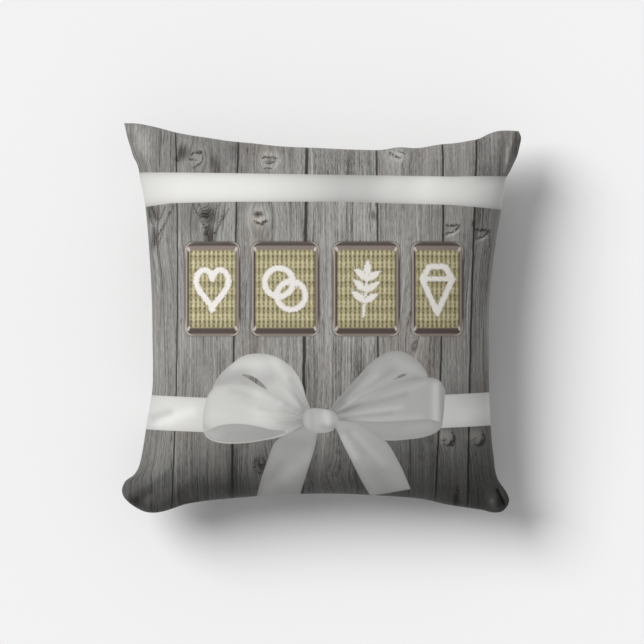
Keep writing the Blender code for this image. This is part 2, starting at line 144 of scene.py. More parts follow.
TONES = [  # x, y, half width, half height, change of the wood's lightness
    (-165, -138, 45, 25, 0.30), (-95, -170, 32, 13, -0.42), (140, -128, 32, 14, 0.22),
    (-155, 20, 24, 60, -0.07), (-102, -46, 14, 14, -0.12), (178, -176, 14, 12, 0.15),
    (-122, 98, 14, 22, -0.25), (-98, 168, 14, 15, -0.15), (40, 95, 22, 30, 0.15),
]
# Most are stains and pale patches in the wood; the last two paint the shade and the highlight of the fold
# at the lower right corner.
STAINS_AND_FOLD_SHADE = [  # x, y, half width, half height, turn in degrees, depth; below 0 is a pale patch
    (-137, 164, 5, 8, -12, 0.55), (-122, 158, 8, 8, 0, -0.25), (-105, 150, 5, 14, 10, 0.3),
    (-50.5, 156.5, 11, 10, 0, -0.5), (-50.5, 155, 5, 4, 0, 0.35), (-61, 99.6, 10, 10, 0, -0.55),
    (-61.5, 102.3, 4.6, 2.6, 0, 0.95), (76.7, 161.5, 10, 7, 0, -0.35), (52.7, 100.5, 3, 4.5, 0, 0.45),
    (131.5, 83.4, 7, 1.5, 27, -0.7), (161.5, 78.7, 7, 1.5, 27, -0.7), (123.5, -118, 8, 7, 0, -0.65),
    (153.8, -118, 8, 7, 0, -0.65), (-59.3, -146, 6, 9, 0, 0.35), (-186, -184, 9, 6, 0, 0.4),
    (-130, -186, 12, 4, 14, 0.4), (-88, -150, 5, 34, 0, 0.25), (-40, -160, 16, 22, 0, 0.25),
    (135, -186, 3.2, 10, 0, 0.8), (-110, 100, 8, 10, 0, 0.45), (-110, 82, 5, 14, 0, 0.55),
    (-166, 104, 6, 9, 0, 0.4), (-166, 78, 3, 12, 0, 0.45), (-119, 93, 2.4, 8, 12, -0.25),
    (40, -60, 6, 22, 0, 0.2), (-178, 176, 6, 16, 12, -0.3),
    # Painted shade and a painted highlight, on the fold at the lower right corner:
    (179.5, -184, 3.5, 5, 20, 0.5), (171, -183, 4, 9, 24, -0.4),
]
# The mark along the fold at the lower right corner is painted shade in its crease.
STROKES = [  # half width, then points along a dark mark
    (0.8, [(-57.5, 158.7), (-54.5, 159.6), (-51.8, 158.8)]), (0.7, [(-48.6, 159.6), (-43, 157.6)]),
    (0.4, [(-56, 154.5), (-51, 152.8), (-45, 155.2)]), (0.6, [(-55.3, 148.2), (-49.3, 147.8)]),
    (1.1, [(-64.6, 95.2), (-60, 92.2), (-53.4, 95.6)]), (0.9, [(-127, 163.6), (-118, 164.2)]),
    (0.4, [(-129.8, 159), (-127, 163), (-119, 165), (-116.4, 160), (-119, 154), (-127, 148.5)]),
    (0.5, [(-130.4, 157.4), (-123.6, 157)]), (1.3, [(-143.4, 159), (-142.4, 156)]),
    (0.9, [(69, 164), (74.5, 160.5), (80, 159)]), (0.6, [(78, 165.5), (84, 163)]),
    (0.9, [(123.8, 91.6), (130, 91.3), (135, 91.6)]),
    (0.7, [(138, 91.4), (133.5, 86.2), (128.5, 83.7), (123.5, 82.6)]), (0.2, [(138, 91), (138.3, 76)]),
    (1.1, [(152.8, 87.6), (159, 87), (164.5, 87)]), (1.1, [(151.4, 95), (151.6, 91.6)]),
    (0.8, [(168, 87), (163.5, 81.6), (157.5, 78.7), (152.5, 78)]), (0.2, [(168, 86), (168.4, 70)]),
    (0.9, [(131, -114.5), (133.2, -121), (131, -127)]), (1.2, [(131, -122), (127.5, -127)]),
    (0.6, [(119.8, -121.4), (124.6, -120.6)]), (0.4, [(122.4, -125), (125.4, -127.4)]),
    (0.9, [(161.3, -114.5), (163.4, -121), (161, -127)]), (1.2, [(161.3, -122), (157.8, -127)]),
    (0.6, [(150.4, -121.4), (155, -120.6)]), (0.4, [(152.8, -125), (155.8, -127.4)]),
    # The second mark here is painted shade in the crease of the lower right corner's fold.
    (0.9, [(135.5, -168), (137, -176), (134.5, -186)]), (1.3, [(176.5, -172), (180, -180), (183, -186)]),
    (0.5, [(-64, -139), (-66, -147), (-62, -154), (-56, -155)]), (0.6, [(-63, -146.5), (-55, -145.5)]),
    (0.3, [(-126.7, 112.6), (-119, 98), (-111.7, 82.6), (-110, 70)]), (0.2, [(-107, 70), (-96, 106)]),
    (0.3, [(-90.5, 107.6), (-100, 92), (-109.5, 77)]), (0.2, [(-120, 112.6), (-111, 95), (-101, 112)]),
    (0.3, [(-173, 111), (-169, 99), (-165.4, 88), (-164.6, 72)]), (0.2, [(-162, 70), (-150, 105)]),
    (0.3, [(-145, 111), (-154, 95), (-163.6, 78)]), (0.2, [(-169, 111), (-161, 97), (-154, 111)]),
]
TILE_Y = 28.3
TILE_HALF_HEIGHT = 46.8
TILES = [(-106.9, 27.9), (-34.9, 34.0), (45.2, 33.5), (115.6, 26.3)]  # x, half width
TILE_CORNER = 9.0
BEVEL_CORNER = 10.0
OPENING_CORNER = 4.0
FRAME_SIDE = 4.5  # the bars at the sides, and the deeper ones at the top and bottom
FRAME_END = 8.0
SYMBOL_HALF_STROKE = 2.8
WOOD_SHADES = ((0, "2f2b29"), (0.22, "575451"), (0.5, "8b8a87"), (0.75, "a5a4a0"), (1, "c3c1bb"))
BURLAP_SHADES = ((0.02, "564f37"), (0.25, "7f775a"), (0.5, "9f9775"), (0.75, "bdb592"), (1, "ded8bd"))


# Studio
FILL_LIGHT = 0.437
KEY_LIGHT = 2.98
KEY_SPREAD = 0.62
KEY_FROM = (-1.0, 0.66, 1.22)
FLOOR_REACH = 9.0
FLOOR_Z = -0.0003
LENS, SENSOR = 300, 36
VIEW_WIDTH = 0.644  # metres seen across the picture, at the seam's height
CAMERA_XY = (0.00155, -0.0044)


# Small tools


def lerp(a, b, t):
    return a + (b - a) * t


def soft_step(low, high, value):
    t = np.clip((value - low) / (high - low), 0.0, 1.0)
    return t * t * (3 - 2 * t)


def curve_through(points, steps=10, closed=False):
    """A smooth curve through points: Hermite spans with slopes that allow for uneven spacing."""
    p = np.array(points, float)
    before, after = (p[-1:], p[:2]) if closed else (2 * p[0] - p[1], 2 * p[-1] - p[-2])
    p = np.vstack([before, p, after])
    gap = np.linalg.norm(np.diff(p, axis=0), axis=1)[:, None]
    slope = np.diff(p, axis=0) / gap
    tangent = (slope[:-1] * gap[1:] + slope[1:] * gap[:-1]) / (gap[:-1] + gap[1:])
    t = (np.arange(steps) / steps)[:, None]
    spans = []
    for i in range(len(tangent) - 1):
        a, b, h = p[i + 1], p[i + 2], gap[i + 1]
        spans.append(
            (2 * t**3 - 3 * t**2 + 1) * a
            + (t**3 - 2 * t**2 + t) * h * tangent[i]
            + (3 * t**2 - 2 * t**3) * b
            + (t**3 - t**2) * h * tangent[i + 1]
        )
    if not closed:
        spans.append(p[-2:-1])
    return np.vstack(spans)


def along(curve, shares):
    """Points at the given shares of a curve's length."""
    run = np.concatenate([[0.0], np.cumsum(np.linalg.norm(np.diff(curve, axis=0), axis=1))])
    return np.stack([np.interp(shares * run[-1], run, curve[:, k]) for k in range(curve.shape[1])], -1)


def line_distance(points, line, closed=False):
    """Distance from each point to a polyline."""
    ends = np.roll(line, -1, axis=0) if closed else line[1:]
    best = np.full(points.shape[:-1], FAR)
    for a, b in zip(line, ends):
        ab = b - a
        t = np.clip(((points - a) @ ab) / max(ab @ ab, TINY), 0.0, 1.0)
        best = np.minimum(best, np.linalg.norm(points - a - t[..., None] * ab, axis=-1))
    return best


def shape_distance(points, outline):
    """Signed distance to a closed outline, below 0 inside."""
    inside = np.zeros(points.shape[:-1], bool)
    x, y = points[..., 0], points[..., 1]
    for a, b in zip(outline, np.roll(outline, -1, axis=0)):
        crosses = (a[1] > y) != (b[1] > y)
        rise = b[1] - a[1] if b[1] != a[1] else TINY
        inside ^= crosses & (x < (b[0] - a[0]) * (y - a[1]) / rise + a[0])
    return np.where(inside, -1.0, 1.0) * line_distance(points, outline, True)


# The pillow's form


def turns(cells):
    """Grid angles from edge to edge, spaced evenly along the panel's own curved length."""
    fine = np.linspace(-QUARTER, QUARTER, 2001)
    step = np.hypot(HALF_PLAN * np.cos(fine), FRONT_RISE * np.sin(fine))
    run = np.concatenate([[0.0], np.cumsum((step[1:] + step[:-1]) / 2)])
    return np.interp(np.linspace(0, run[-1], cells + 1), run, fine)


def plan_grid(angles):
    """Plan positions of the grid: a patch between the four edges."""
    share = (np.sin(angles) + 1) / 2
    bottom, top, left, right = (
        along(curve_through(edge), share) for edge in (BOTTOM_EDGE, TOP_EDGE, LEFT_EDGE, RIGHT_EDGE)
    )
    s, t = share[:, None, None], share[None, :, None]
    corners = lerp(lerp(bottom[0], bottom[-1], s), lerp(top[0], top[-1], s), t)
    return lerp(bottom[:, None], top[:, None], t) + lerp(left[None], right[None], s) - corners


def dome(angles, rise):
    """Panel positions (cells+1, cells+1, 3), with z up from the seam."""
    plan = plan_grid(angles)
    swell = np.maximum(0.0, np.cos(angles)[:, None] * np.cos(angles)[None, :]) ** FULLNESS
    return np.dstack([plan, rise * swell])


def edge_loop(cells):
    """Grid indices of the edge, in order round the panel."""
    n = cells
    loop = [(i, 0) for i in range(n)] + [(n, j) for j in range(n)]
    loop += [(i, n) for i in range(n, 0, -1)] + [(0, j) for j in range(n, 0, -1)]
    return np.array(loop)


def grid_faces(shape, flip=False):
    """Quads of a grid of points that are numbered row by row."""
    rows, columns = shape[:2]
    i, j = np.meshgrid(np.arange(rows - 1), np.arange(columns - 1), indexing="ij")
    a = (i * columns + j).ravel()
    quads = np.stack([a, a + columns, a + columns + 1, a + 1], -1)
    return quads[:, ::-1] if flip else quads


def flat_sheet(size):
    """Where each point of a square grid is on the flat cloth."""
    spread = np.linspace(-HALF_SHEET, HALF_SHEET, size)
    return np.dstack([*np.meshgrid(spread, spread, indexing="ij"), np.zeros((size, size))])


def settle(front, back):
    """Cloth: the two joined panels take up their slack under the filling's pressure."""
    count = (COARSE + 1) ** 2
    on_edge = np.zeros(front.shape[:2], bool)
    loop = edge_loop(COARSE)
    on_edge[loop[:, 0], loop[:, 1]] = True
    number = np.arange(count).reshape(on_edge.shape)
    back_number = np.where(on_edge, number, number + count)
    points = np.vstack([front.reshape(-1, 3), back.reshape(-1, 3)])
    quads = np.vstack([grid_faces(front.shape), back_number.ravel()[grid_faces(front.shape, True)]])
    used = np.unique(quads)
    renumber = np.zeros(2 * count, int)
    renumber[used] = np.arange(len(used))
    data = bpy.data.meshes.new("settling")
    data.from_pydata((points[used] * MM).tolist(), [], renumber[quads].tolist())
    cloth_object = bpy.data.objects.new("settling", data)
    bpy.context.scene.collection.objects.link(cloth_object)
    pins = cloth_object.vertex_groups.new(name="seam")
    pins.add(renumber[number[on_edge]].tolist(), 1.0, "REPLACE")
    slack = cloth_object.vertex_groups.new(name="slack")
    shares = np.abs(np.linspace(-1, 1, COARSE + 1))
    weight = soft_step(SLACK_FROM, SLACK_FULL, np.maximum(shares[:, None], shares[None, :]))
    for pair, amount in zip(renumber[np.stack([number, back_number], -1)].reshape(-1, 2), weight.ravel()):
        slack.add(pair.tolist(), float(amount), "REPLACE")
    cloth = cloth_object.modifiers.new("cloth", "CLOTH")
    for key, value in CLOTH_SETTINGS.items():
        setattr(cloth.settings, key, value)
    cloth.settings.vertex_group_mass = "seam"
    cloth.settings.vertex_group_shrink = "slack"
    cloth.settings.effector_weights.gravity = 0.0
    cloth.collision_settings.use_collision = False
    cloth.collision_settings.use_self_collision = False
    scene = bpy.context.scene
    cloth.point_cache.frame_end = FRAMES
    for step in range(1, FRAMES + 1):
        scene.frame_set(step)
    graph = bpy.context.evaluated_depsgraph_get()
    settled = cloth_object.evaluated_get(graph).to_mesh()
    spots = np.empty(len(used) * 3)
    settled.vertices.foreach_get("co", spots)
    bpy.data.objects.remove(cloth_object, do_unlink=True)
    scene.frame_set(1)
    start = points[used]
    shift = spots.reshape(-1, 3) / MM - start
    length = np.linalg.norm(shift, axis=1)[:, None]
    moved = start + shift * np.minimum(1.0, LARGEST_SHIFT / np.maximum(length, TINY))
    size = front.shape
    return moved[renumber[number]].reshape(size), moved[renumber[back_number]].reshape(size)


def refine(grid):
    """Doubles the cells each way with a smooth four-point rule."""
    for axis in (0, 1):
        g = np.moveaxis(grid, axis, 0)
        padded = np.concatenate([[2 * g[0] - g[1]], g, [2 * g[-1] - g[-2]]])
        middle = (9 * (g[:-1] + g[1:]) - (padded[:-3] + padded[3:])) / 16
        fine = np.empty((2 * len(g) - 1, *g.shape[1:]))
        fine[0::2], fine[1::2] = g, middle
        grid = np.moveaxis(fine, 0, axis)
    return grid


def press_folds(front):
    """Adds the folds near the corners, fading out over a quarter of their length at both ends."""
    spots = front[..., :2]
    for start, end, width, height in FOLDS:
        a, b = np.array(start, float), np.array(end, float)
        t = ((spots - a) @ (b - a)) / ((b - a) @ (b - a))
        fade = soft_step(-0.25, 0.25, t) * soft_step(1.25, 0.75, t)
        front[..., 2] += height * gauss(line_distance(spots, np.array([a, b])) / width) * fade


def zip_y(x):
    return ZIP_LIP_Y - ZIP_RADIUS + np.sqrt(ZIP_RADIUS**2 - x * x)


def lip_heights(angles):
    s = np.sin(angles)
    return LIP * (1 - (1 - CORNER_LIP) * np.abs(s[:, None] * s[None, :]) ** CORNER_SHARPNESS)


def inward(edge, distance):
    """Plan points moved in from the closed edge, square to it."""
    tangent = sum(np.roll(edge, -k, axis=0) - np.roll(edge, k, axis=0) for k in (2, 4, 6))
    normal = np.stack([-tangent[:, 1], tangent[:, 0]], -1)
    return edge + distance * normal / np.linalg.norm(normal, axis=1)[:, None]


def lips(grid, angles, side):
    """Rings of points that turn the panel's edge in to the seam, or to the zip's opening."""
    loop = edge_loop(len(angles) - 1)
    edge = grid[loop[:, 0], loop[:, 1]]
    target = edge.copy()
    target[:, :2] = inward(edge[:, :2], LIP_TUCK)
    target[:, 2] = side * SEAM_GAP
    opened = (loop[:, 1] == 0) * soft_step(*ZIP_BLEND, np.abs(edge[:, 0]))
    target[:, 1] = lerp(target[:, 1], zip_y(target[:, 0]), opened)
    target[:, 2] = lerp(target[:, 2], side * ZIP_HALF_GAP, opened)
    power = lerp(2.0, 1.4, opened)[:, None]
    rings = []
    for t in np.arange(1, RINGS + 1) / RINGS:
        share = np.hstack([t**power, t**power, np.full_like(power, t)])
        rings.append(edge + (target - edge) * share)
    return rings


def cover_forms():
    """Front and back panel grids in millimetres, z up from the seam, and their angles."""
    coarse = turns(COARSE)
    front, back = dome(coarse, FRONT_RISE), dome(coarse, -BACK_DROP)
    front, back = settle(front, back)
    front, back = refine(front), refine(back)
    angles = np.interp(np.arange(2 * COARSE + 1) / 2, np.arange(COARSE + 1), coarse)
    lip = lip_heights(angles)
    peak = front[..., 2].max()
    front[..., 2] = lip + np.maximum(front[..., 2], 0) * (FRONT_RISE - lip) / peak
    deepest = max(-back[..., 2].min(), BACK_DROP)
    drop = lip + np.maximum(-back[..., 2], 0) * (BACK_DROP - lip) / deepest
    back[..., 2] = FLOOR_SOFTNESS * np.log(
        np.exp(-drop / FLOOR_SOFTNESS) + np.exp(-SEAM_Z / FLOOR_SOFTNESS)
    )
    press_folds(front)
    return front, back, angles


def placed(points, layer=COVER):
    """Moves points to a layer, up to the seam's height, and into metres."""
    scale_x, scale_y, shift_y, scale_z, draw_in = layer
    corner = 1 - draw_in * (points[..., 0] * points[..., 1] / CORNER_REACH**2) ** 2
    x = points[..., 0] * scale_x * corner
    y = points[..., 1] * scale_y * corner + shift_y
    z = np.maximum(SEAM_Z + points[..., 2] * scale_z, 0.0)
    return np.stack([x, y, z], -1) * MM


# Print layout


def gauss(value):
    return np.exp(-(value**2))


def turned(points, x, y, angle):
    """Coordinates along and across a mark that is turned by an angle in degrees."""
    c, s = math.cos(math.radians(angle)), math.sin(math.radians(angle))
    dx, dy = points[..., 0] - x, points[..., 1] - y
    return dx * c + dy * s, dy * c - dx * s


def grain_field(plan, walls):
    """Where each point is in the wood's own grain, parted round knots and drawn into vees."""
    x, y = plan[..., 0], plan[..., 1]
    grain = x.copy()
    for kx, ky, wide, high, strength in KNOTS:
        dx, dy = x - kx, y - ky
        grain -= strength * dx * np.exp(-((dx / wide) ** 2) - (dy / high) ** 2)
    for vx, vy, wide, high in VEES:
        dx, dy = x - vx, y - vy
        pull = np.exp(-((dx / wide) ** 2) - (dy / high) ** 2)
        grain += pull * (np.hypot(dx, 3.0) * 0.9 - 0.6 * dx - dy * 0.2)
    return np.stack([grain + walls[..., 0], y + walls[..., 1], np.zeros_like(x)], -1)


def wood_tone_and_shade(plan):
    """How light the printed wood is: it falls off towards the lower edge, more so at the right, partly as
    the print's own tone and partly as painted shade.
    """
    x, y = plan[..., 0], plan[..., 1]
    # These falloffs are partly painted shade, darkest at the lower right where the cushion turns away
    # from the light.
    down = np.interp(
        y,
        [-200, -168, -152, -135, -110, -60, 0, 95, 150, 200],
        [0.22, 0.28, 0.39, 0.52, 0.70, 0.88, 0.98, 0.90, 0.80, 0.80],
    )
    across = np.interp(
        x, [-190, -120, -60, 0, 50, 90, 150, 190], [0.95, 0.87, 0.94, 1.10, 1.16, 1.0, 0.82, 0.88]
    )
    tone = down * across * (1 - 0.42 * soft_step(-40, -140, y) * soft_step(-10, 100, x))
    for cx, cy, wide, high, change in TONES:
        tone = tone * (1 + change * gauss((x - cx) / wide) * gauss((y - cy) / high))
    return tone


def stroke_distance(plan):
    """Distance past the edge of the nearest dark mark: the wood's own marks, and painted shade in one
    corner's fold.
    """
    lines = [line_distance(plan, curve_through(points, 4)) - half for half, points in STROKES]
    return np.minimum.reduce(lines)


def stain_and_fold_shade_field(plan):
    # Dark and pale patches: mostly stains in the wood, with painted shade and a painted highlight on one
    # corner's fold.
    dark = np.zeros(plan.shape[:-1])
    pale = np.zeros(plan.shape[:-1])
    for x, y, wide, high, angle, depth in STAINS_AND_FOLD_SHADE:
        a, b = turned(plan, x, y, angle)
        spot = np.exp(-(((a / wide) ** 2 + (b / high) ** 2) ** 1.4))
        if depth > 0:
            dark = np.maximum(dark, depth * spot)
        else:
            pale = np.maximum(pale, -depth * spot)
    return dark, pale


def streaked(plan, streaks):
    """Soft satin highlights and shades along lines: start, end, half width, strength."""
    return sum(
        strength * gauss(line_distance(plan, np.array([start, end], float)) / width)
        for start, end, width, strength in streaks
    )


def ribbon_band(plan, upper, lower, left=-400.0, right=400.0):
    """Signed distance to a band between two edges, each given as points from left to right."""
    x, y = plan[..., 0], plan[..., 1]
    (ux, uy), (lx, ly) = np.array(upper, float).T, np.array(lower, float).T
    high, low = np.interp(x, ux, uy), np.interp(x, lx, ly)
    return np.maximum.reduce([y - high, low - y, left - x, x - right])


def shaded(level, distance, edge=0.05, reach=3.0):
    """Lightness with the slightly darker turn that satin has at its edges."""
    return level - edge * np.exp(np.minimum(distance, 0) / reach)


def top_band(plan):
    x, y = plan[..., 0], plan[..., 1]
    distance = ribbon_band(
        plan,
        [(-220, 144.6), (-180, 144.6), (-90, 143.2), (20, 141.4), (130, 139.9), (183, 141), (220, 142)],
        [(-220, 108), (-175, 110.4), (-148, 113.6), (-90, 114.6), (20, 114.7), (90, 112.6),
         (130, 111.8), (181, 107.6), (220, 105)],
    )
    level = np.interp(
        x,
        [-190, -168, -140, -95, -55, -10, 20, 45, 75, 105, 140, 165, 190],
        [0.74, 0.775, 0.825, 0.835, 0.82, 0.755, 0.69, 0.695, 0.77, 0.825, 0.80, 0.78, 0.77],
    )
    off_middle = ((y - np.interp(x, [-170, 170], [129.5, 127])) / 16) ** 2
    return distance, shaded(level - 0.035 * off_middle, distance, 0.085)


def left_band(plan):
    distance = ribbon_band(
        plan,
        [(-200, -76.4), (-168, -77.4), (-114, -79.4), (-90, -80)],
        [(-200, -110), (-174, -111.4), (-116, -113.4), (-90, -114)],
        right=-92.0,
    )
    level = np.interp(plan[..., 0], [-178, -166, -150, -112], [0.70, 0.73, 0.765, 0.76])
    streaks = [((-160, -104), (-128, -93), 6, 0.06), ((-166, -100), (-150, -94), 4, -0.07)]
    return distance, shaded(level + streaked(plan, streaks), distance)


def right_band(plan):
    distance = ribbon_band(
        plan,
        [(90, -77), (124, -76.4), (170, -74.4), (200, -73)],
        [(90, -110.4), (121, -109.4), (171, -107.4), (200, -106)],
        left=96.0,
    )
    level = 0.775 + streaked(plan, [((140, -98), (168, -92), 9, 0.03)])
    return distance, shaded(level, distance, reach=4.0)


def tail(plan, left, right, base, fall, streaks):
    """A tail of the bow, between its two edges, darker away from the knot."""
    distance = shape_distance(plan, np.vstack([curve_through(left), curve_through(right)[::-1]]))
    run = np.linalg.norm(plan - np.array(left[0], float), axis=-1)
    level = base - fall * np.clip(run / 70, 0, 1) + streaked(plan, streaks)
    return distance, shaded(level, distance, reach=2.0)


def left_tail(plan):
    return tail(
        plan,
        [(-22, -108), (-45.3, -124), (-52.3, -141.5), (-58, -158), (-65, -185)],
        [(-2, -108), (-5.8, -128.5), (-12.8, -151.5), (-23, -185)],
        0.625, 0.04,
        [((-12, -138), (-33, -160), 7, 0.04), ((-30, -148), (-52, -172), 6, 0.03),
         ((-34, -124), (-18, -124), 7, -0.03), ((-40, -146), (-50, -160), 4, -0.02)],
    )


def right_tail(plan):
    distance, level = tail(
        plan,
        [(13, -103), (20.7, -121.5), (30.7, -141.5), (41.7, -163.5), (50, -178)],
        [(17, -101.5), (28, -102.4), (39, -104.6), (52, -112.6), (63.7, -121.5), (78.2, -144.5),
         (89.7, -170.5)],
        0.67, 0.04,
        [((22, -119), (34, -138), 4, 0.07), ((34, -116), (62, -144), 4, 0.035),
         ((26, -112), (44, -134), 3, -0.03), ((52, -150), (66, -170), 8, -0.025)],
    )
    end = [(30, -185), (60, -181), (75.7, -178.5), (89.7, -170.5), (110, -160)]
    cut = ribbon_band(plan, [(0, -100), (200, -100)], end)
    return np.maximum(distance, cut), level


def loop(outline, knot, base, streaks, edge, plan):
    """A loop of the bow: satin that spreads in gathers from the knot."""
    distance = shape_distance(plan, curve_through(outline, 8, True))
    away = np.linalg.norm(plan - np.array(knot, float), axis=-1)
    turn = np.arctan2(plan[..., 1] - knot[1], plan[..., 0] - knot[0])
    gathers = np.sin(turn * 13 + 0.6) + np.sin(turn * 23 + 2.1) + 0.7 * np.sin(turn * 31 + 4.0)
    level = base - 0.10 * gauss(away / 26)
    level = level + 0.042 * gathers * np.exp(-away / 34) * soft_step(6, 18, away)
    return distance, shaded(level + streaked(plan, streaks), distance, edge, 2.6)


def crack(plan, points, half_width):
    """A gap between loops, where the wood shows through: widest in its middle."""
    line = curve_through(points, 6)
    share = np.clip((plan[..., 0] - line[0, 0]) / (line[-1, 0] - line[0, 0]), 0, 1)
    return line_distance(plan, line) - half_width * 4 * share * (1 - share)


LOOPS = [  # outline, point its gathers spread from, lightness, streaks, edge shading
    ([  # left loop, behind
        (-10, -93), (-14, -80), (-18.3, -65), (-27.3, -50.5), (-42.3, -39.5), (-62.3, -35.5),
        (-77.3, -38.5), (-88.3, -46.5), (-98.3, -55.5), (-104.3, -64.5), (-107, -73), (-98, -80),
        (-70, -84), (-40, -92), (-20, -99),
    ], (-8, -98), 0.72, [
        ((-98, -64), (-78, -56), 9, -0.085), ((-84, -48), (-46, -44), 6, 0.05),
        ((-74, -66), (-50, -60), 6, -0.05), ((-30, -62), (-16, -92), 3, -0.06),
        ((-42, -52), (-24, -84), 6, 0.04),
    ], 0.06),
    ([  # right loop, behind
        (10, -92), (14, -84), (24.7, -72.5), (37.7, -57.5), (55.7, -40), (68, -34), (80, -33.6),
        (92, -39.6), (102, -50), (106.4, -59), (98, -66), (72, -70), (44, -82), (22, -97),
    ], (6, -98), 0.645, [
        ((100, -56), (76, -44), 5, 0.03), ((56, -58), (28, -82), 3.4, 0.05),
        ((96, -60), (40, -83), 3.5, -0.05), ((72, -52), (34, -76), 3, -0.03),
        ((46, -54), (20, -84), 2.6, -0.04),
    ], 0.06),
    ([  # left loop, in front
        (-12, -102), (-20, -97), (-38, -81.5), (-48.3, -75), (-63.3, -68), (-80.3, -65.8),
        (-94.3, -66.2), (-104.8, -69.2), (-111.8, -78.5), (-115.4, -92), (-116.4, -108),
        (-114, -117), (-107, -122), (-96, -124.4), (-80.3, -124.6), (-57.3, -121.6),
        (-41.3, -118.4), (-24.3, -112.4), (-13, -106.5),
    ], (-6, -101), 0.735, [
        ((-62, -78), (-44, -86), 7, 0.06), ((-104, -98), (-60, -100), 8, 0.03),
        ((-40, -84), (-14, -98), 2, 0.05), ((-88, -72), (-34, -88), 3, -0.035),
        ((-60, -90), (-14, -101), 2.2, -0.05), ((-42, -104), (-18, -104), 2.4, -0.05),
        ((-62, -97), (-44, -104), 8, 0.04), ((-46, -112), (-16, -106), 4, -0.04),
        ((-113, -110), (-104, -119), 4, -0.05),
    ], 0.06),
    ([  # inside of the left loop
        (-114.6, -114), (-108, -110), (-101, -107.2), (-91, -105.4), (-75, -105.4), (-61, -107.8),
        (-47, -111), (-33, -112.5), (-47, -118.2), (-61, -121.2), (-75, -123.2), (-91, -123.6),
        (-102, -122), (-111, -118.6),
    ], (60, 60), 0.635, [
        ((-90, -115), (-50, -115), 5, -0.025), ((-112, -115), (-104, -119), 4, 0.03),
    ], 0.03),
    ([  # right loop, in front
        (12, -98), (19, -93.5), (38.7, -79.5), (55.7, -71.5), (73.7, -64.6), (89.7, -61.4),
        (106, -59.4), (117.7, -62.4), (122.7, -69.5), (122.9, -82), (121.4, -100), (119.7, -109),
        (114, -114), (105, -117.6), (84, -120.8), (66, -121.6), (44, -116), (24, -107),
    ], (8, -99), 0.665, [
        ((114, -67), (114, -103), 4, 0.09), ((84, -76), (24, -91), 3.2, -0.045),
        ((80, -88.5), (20, -97), 2.6, 0.05), ((70, -94.5), (22, -99), 2.2, -0.04),
        ((100, -98), (30, -102), 3, 0.03), ((119.5, -66), (121, -108), 2.2, -0.05),
        ((70, -112), (24, -103), 3, -0.045), ((104, -65), (42, -84), 2.6, 0.03),
    ], 0.06),
    ([  # inside of the right loop
        (30, -103.5), (60, -103), (92, -101.5), (112, -101.5), (119.6, -105), (117, -111), (104, -115.6),
        (84, -119), (66, -119.6), (46, -112),
    ], (60, 60), 0.635, [((88, -110), (108, -108), 5, 0.02)], 0.03),
]
KNOT = (
    [
        (-15, -92), (-8, -89.6), (4, -90.6), (12, -92.5), (17, -98), (16.6, -106), (11, -112),
        (0, -114), (-10, -113), (-16, -107), (-17.4, -99),
    ],
    (60, 60), 0.715, [
        ((5, -93), (7, -103), 3.4, 0.06), ((2, -108), (12, -109), 3, -0.07),
        ((-9, -95), (-7, -110), 3, -0.05),
        ((13, -96), (13, -107), 2.4, -0.05), ((-3, -92), (-2, -112), 1.8, -0.02),
    ], 0.09,
)
RIBBONS = [
    top_band, left_band, right_band, left_tail, *(partial(loop, *spec) for spec in LOOPS), right_tail,
    partial(loop, *KNOT),
]
CRACKS = [
    ([(-80, -55.5), (-68, -60), (-58, -66.5), (-49, -73.5)], 2.3),
    ([(70, -62.5), (79, -58), (88.5, -54.8)], 1.3),
]


def heart(x, y, size):
    """A heart's closed outline, from a point below to two lobes."""
    t = np.linspace(0, 2 * math.pi, 60, endpoint=False)
    wide = 16 * np.sin(t) ** 3
    high = 13 * np.cos(t) - 5 * np.cos(2 * t) - 2 * np.cos(3 * t) - np.cos(4 * t)
    return np.stack([x + wide * size, y + (high + 2.5) * size * 1.38], -1)


def ring(x, y, radius):
    t = np.linspace(0, 2 * math.pi, 40, endpoint=False)
    return np.stack([x + radius * np.cos(t), y + radius * np.sin(t)], -1)


def leaf_distance(points, root, tip, half_width):
    """Signed distance to a solid leaf between two points."""
    a, b = np.array(root, float), np.array(tip, float)
    ab = b - a
    t = np.clip(((points - a) @ ab) / (ab @ ab), 0.0, 1.0)
    off = np.linalg.norm(points - a - t[..., None] * ab, axis=-1)
    return off - 0.4 - half_width * np.sin(math.pi * t ** 0.8)


def sprig_distance(plan, x, y):
    """A stem with three pairs of leaves and one at its tip."""
    stem = curve_through([(x - 3, y - 27), (x - 1.5, y - 12), (x + 0.5, y + 4), (x + 1, y + 14)])
    best = line_distance(plan, stem) - 1.5
    for height in (-13.0, -2.0, 9.0):
        foot = np.interp(y + height, stem[:, 1], stem[:, 0])
        for lean in (-1, 1):
            rise = 10.5 - 1.5 * lean
            leaf = leaf_distance(plan, (foot, y + height), (foot + 13.5 * lean, y + height + rise), 3.1)
            best = np.minimum(best, leaf)
    return np.minimum(best, leaf_distance(plan, (x + 1, y + 13), (x + 1.5, y + 29), 3.4))


def symbol_distance(plan):
    """Signed distance to the white marks on the tiles."""
    x1, x2, x3, x4 = (tile[0] for tile in TILES)
    y = TILE_Y
    best = line_distance(plan, heart(x1, y - 1, 1.0), True)
    for dx, dy in ((-6, 6.5), (6, -6.5)):
        best = np.minimum(best, line_distance(plan, ring(x2 + dx, y + dy, 14.0), True))
    top, girdle, point = y + 22, y + 10, y - 24
    gem = [(x4 - 15, girdle), (x4 - 8, top), (x4 + 8, top), (x4 + 15, girdle), (x4, point)]
    gem = np.array(gem)
    best = np.minimum(best, line_distance(plan, gem, True))
    best = np.minimum(best, line_distance(plan, gem[[0, 3]]) + 0.6)
    return np.minimum(best - SYMBOL_HALF_STROKE, sprig_distance(plan, x3, y))


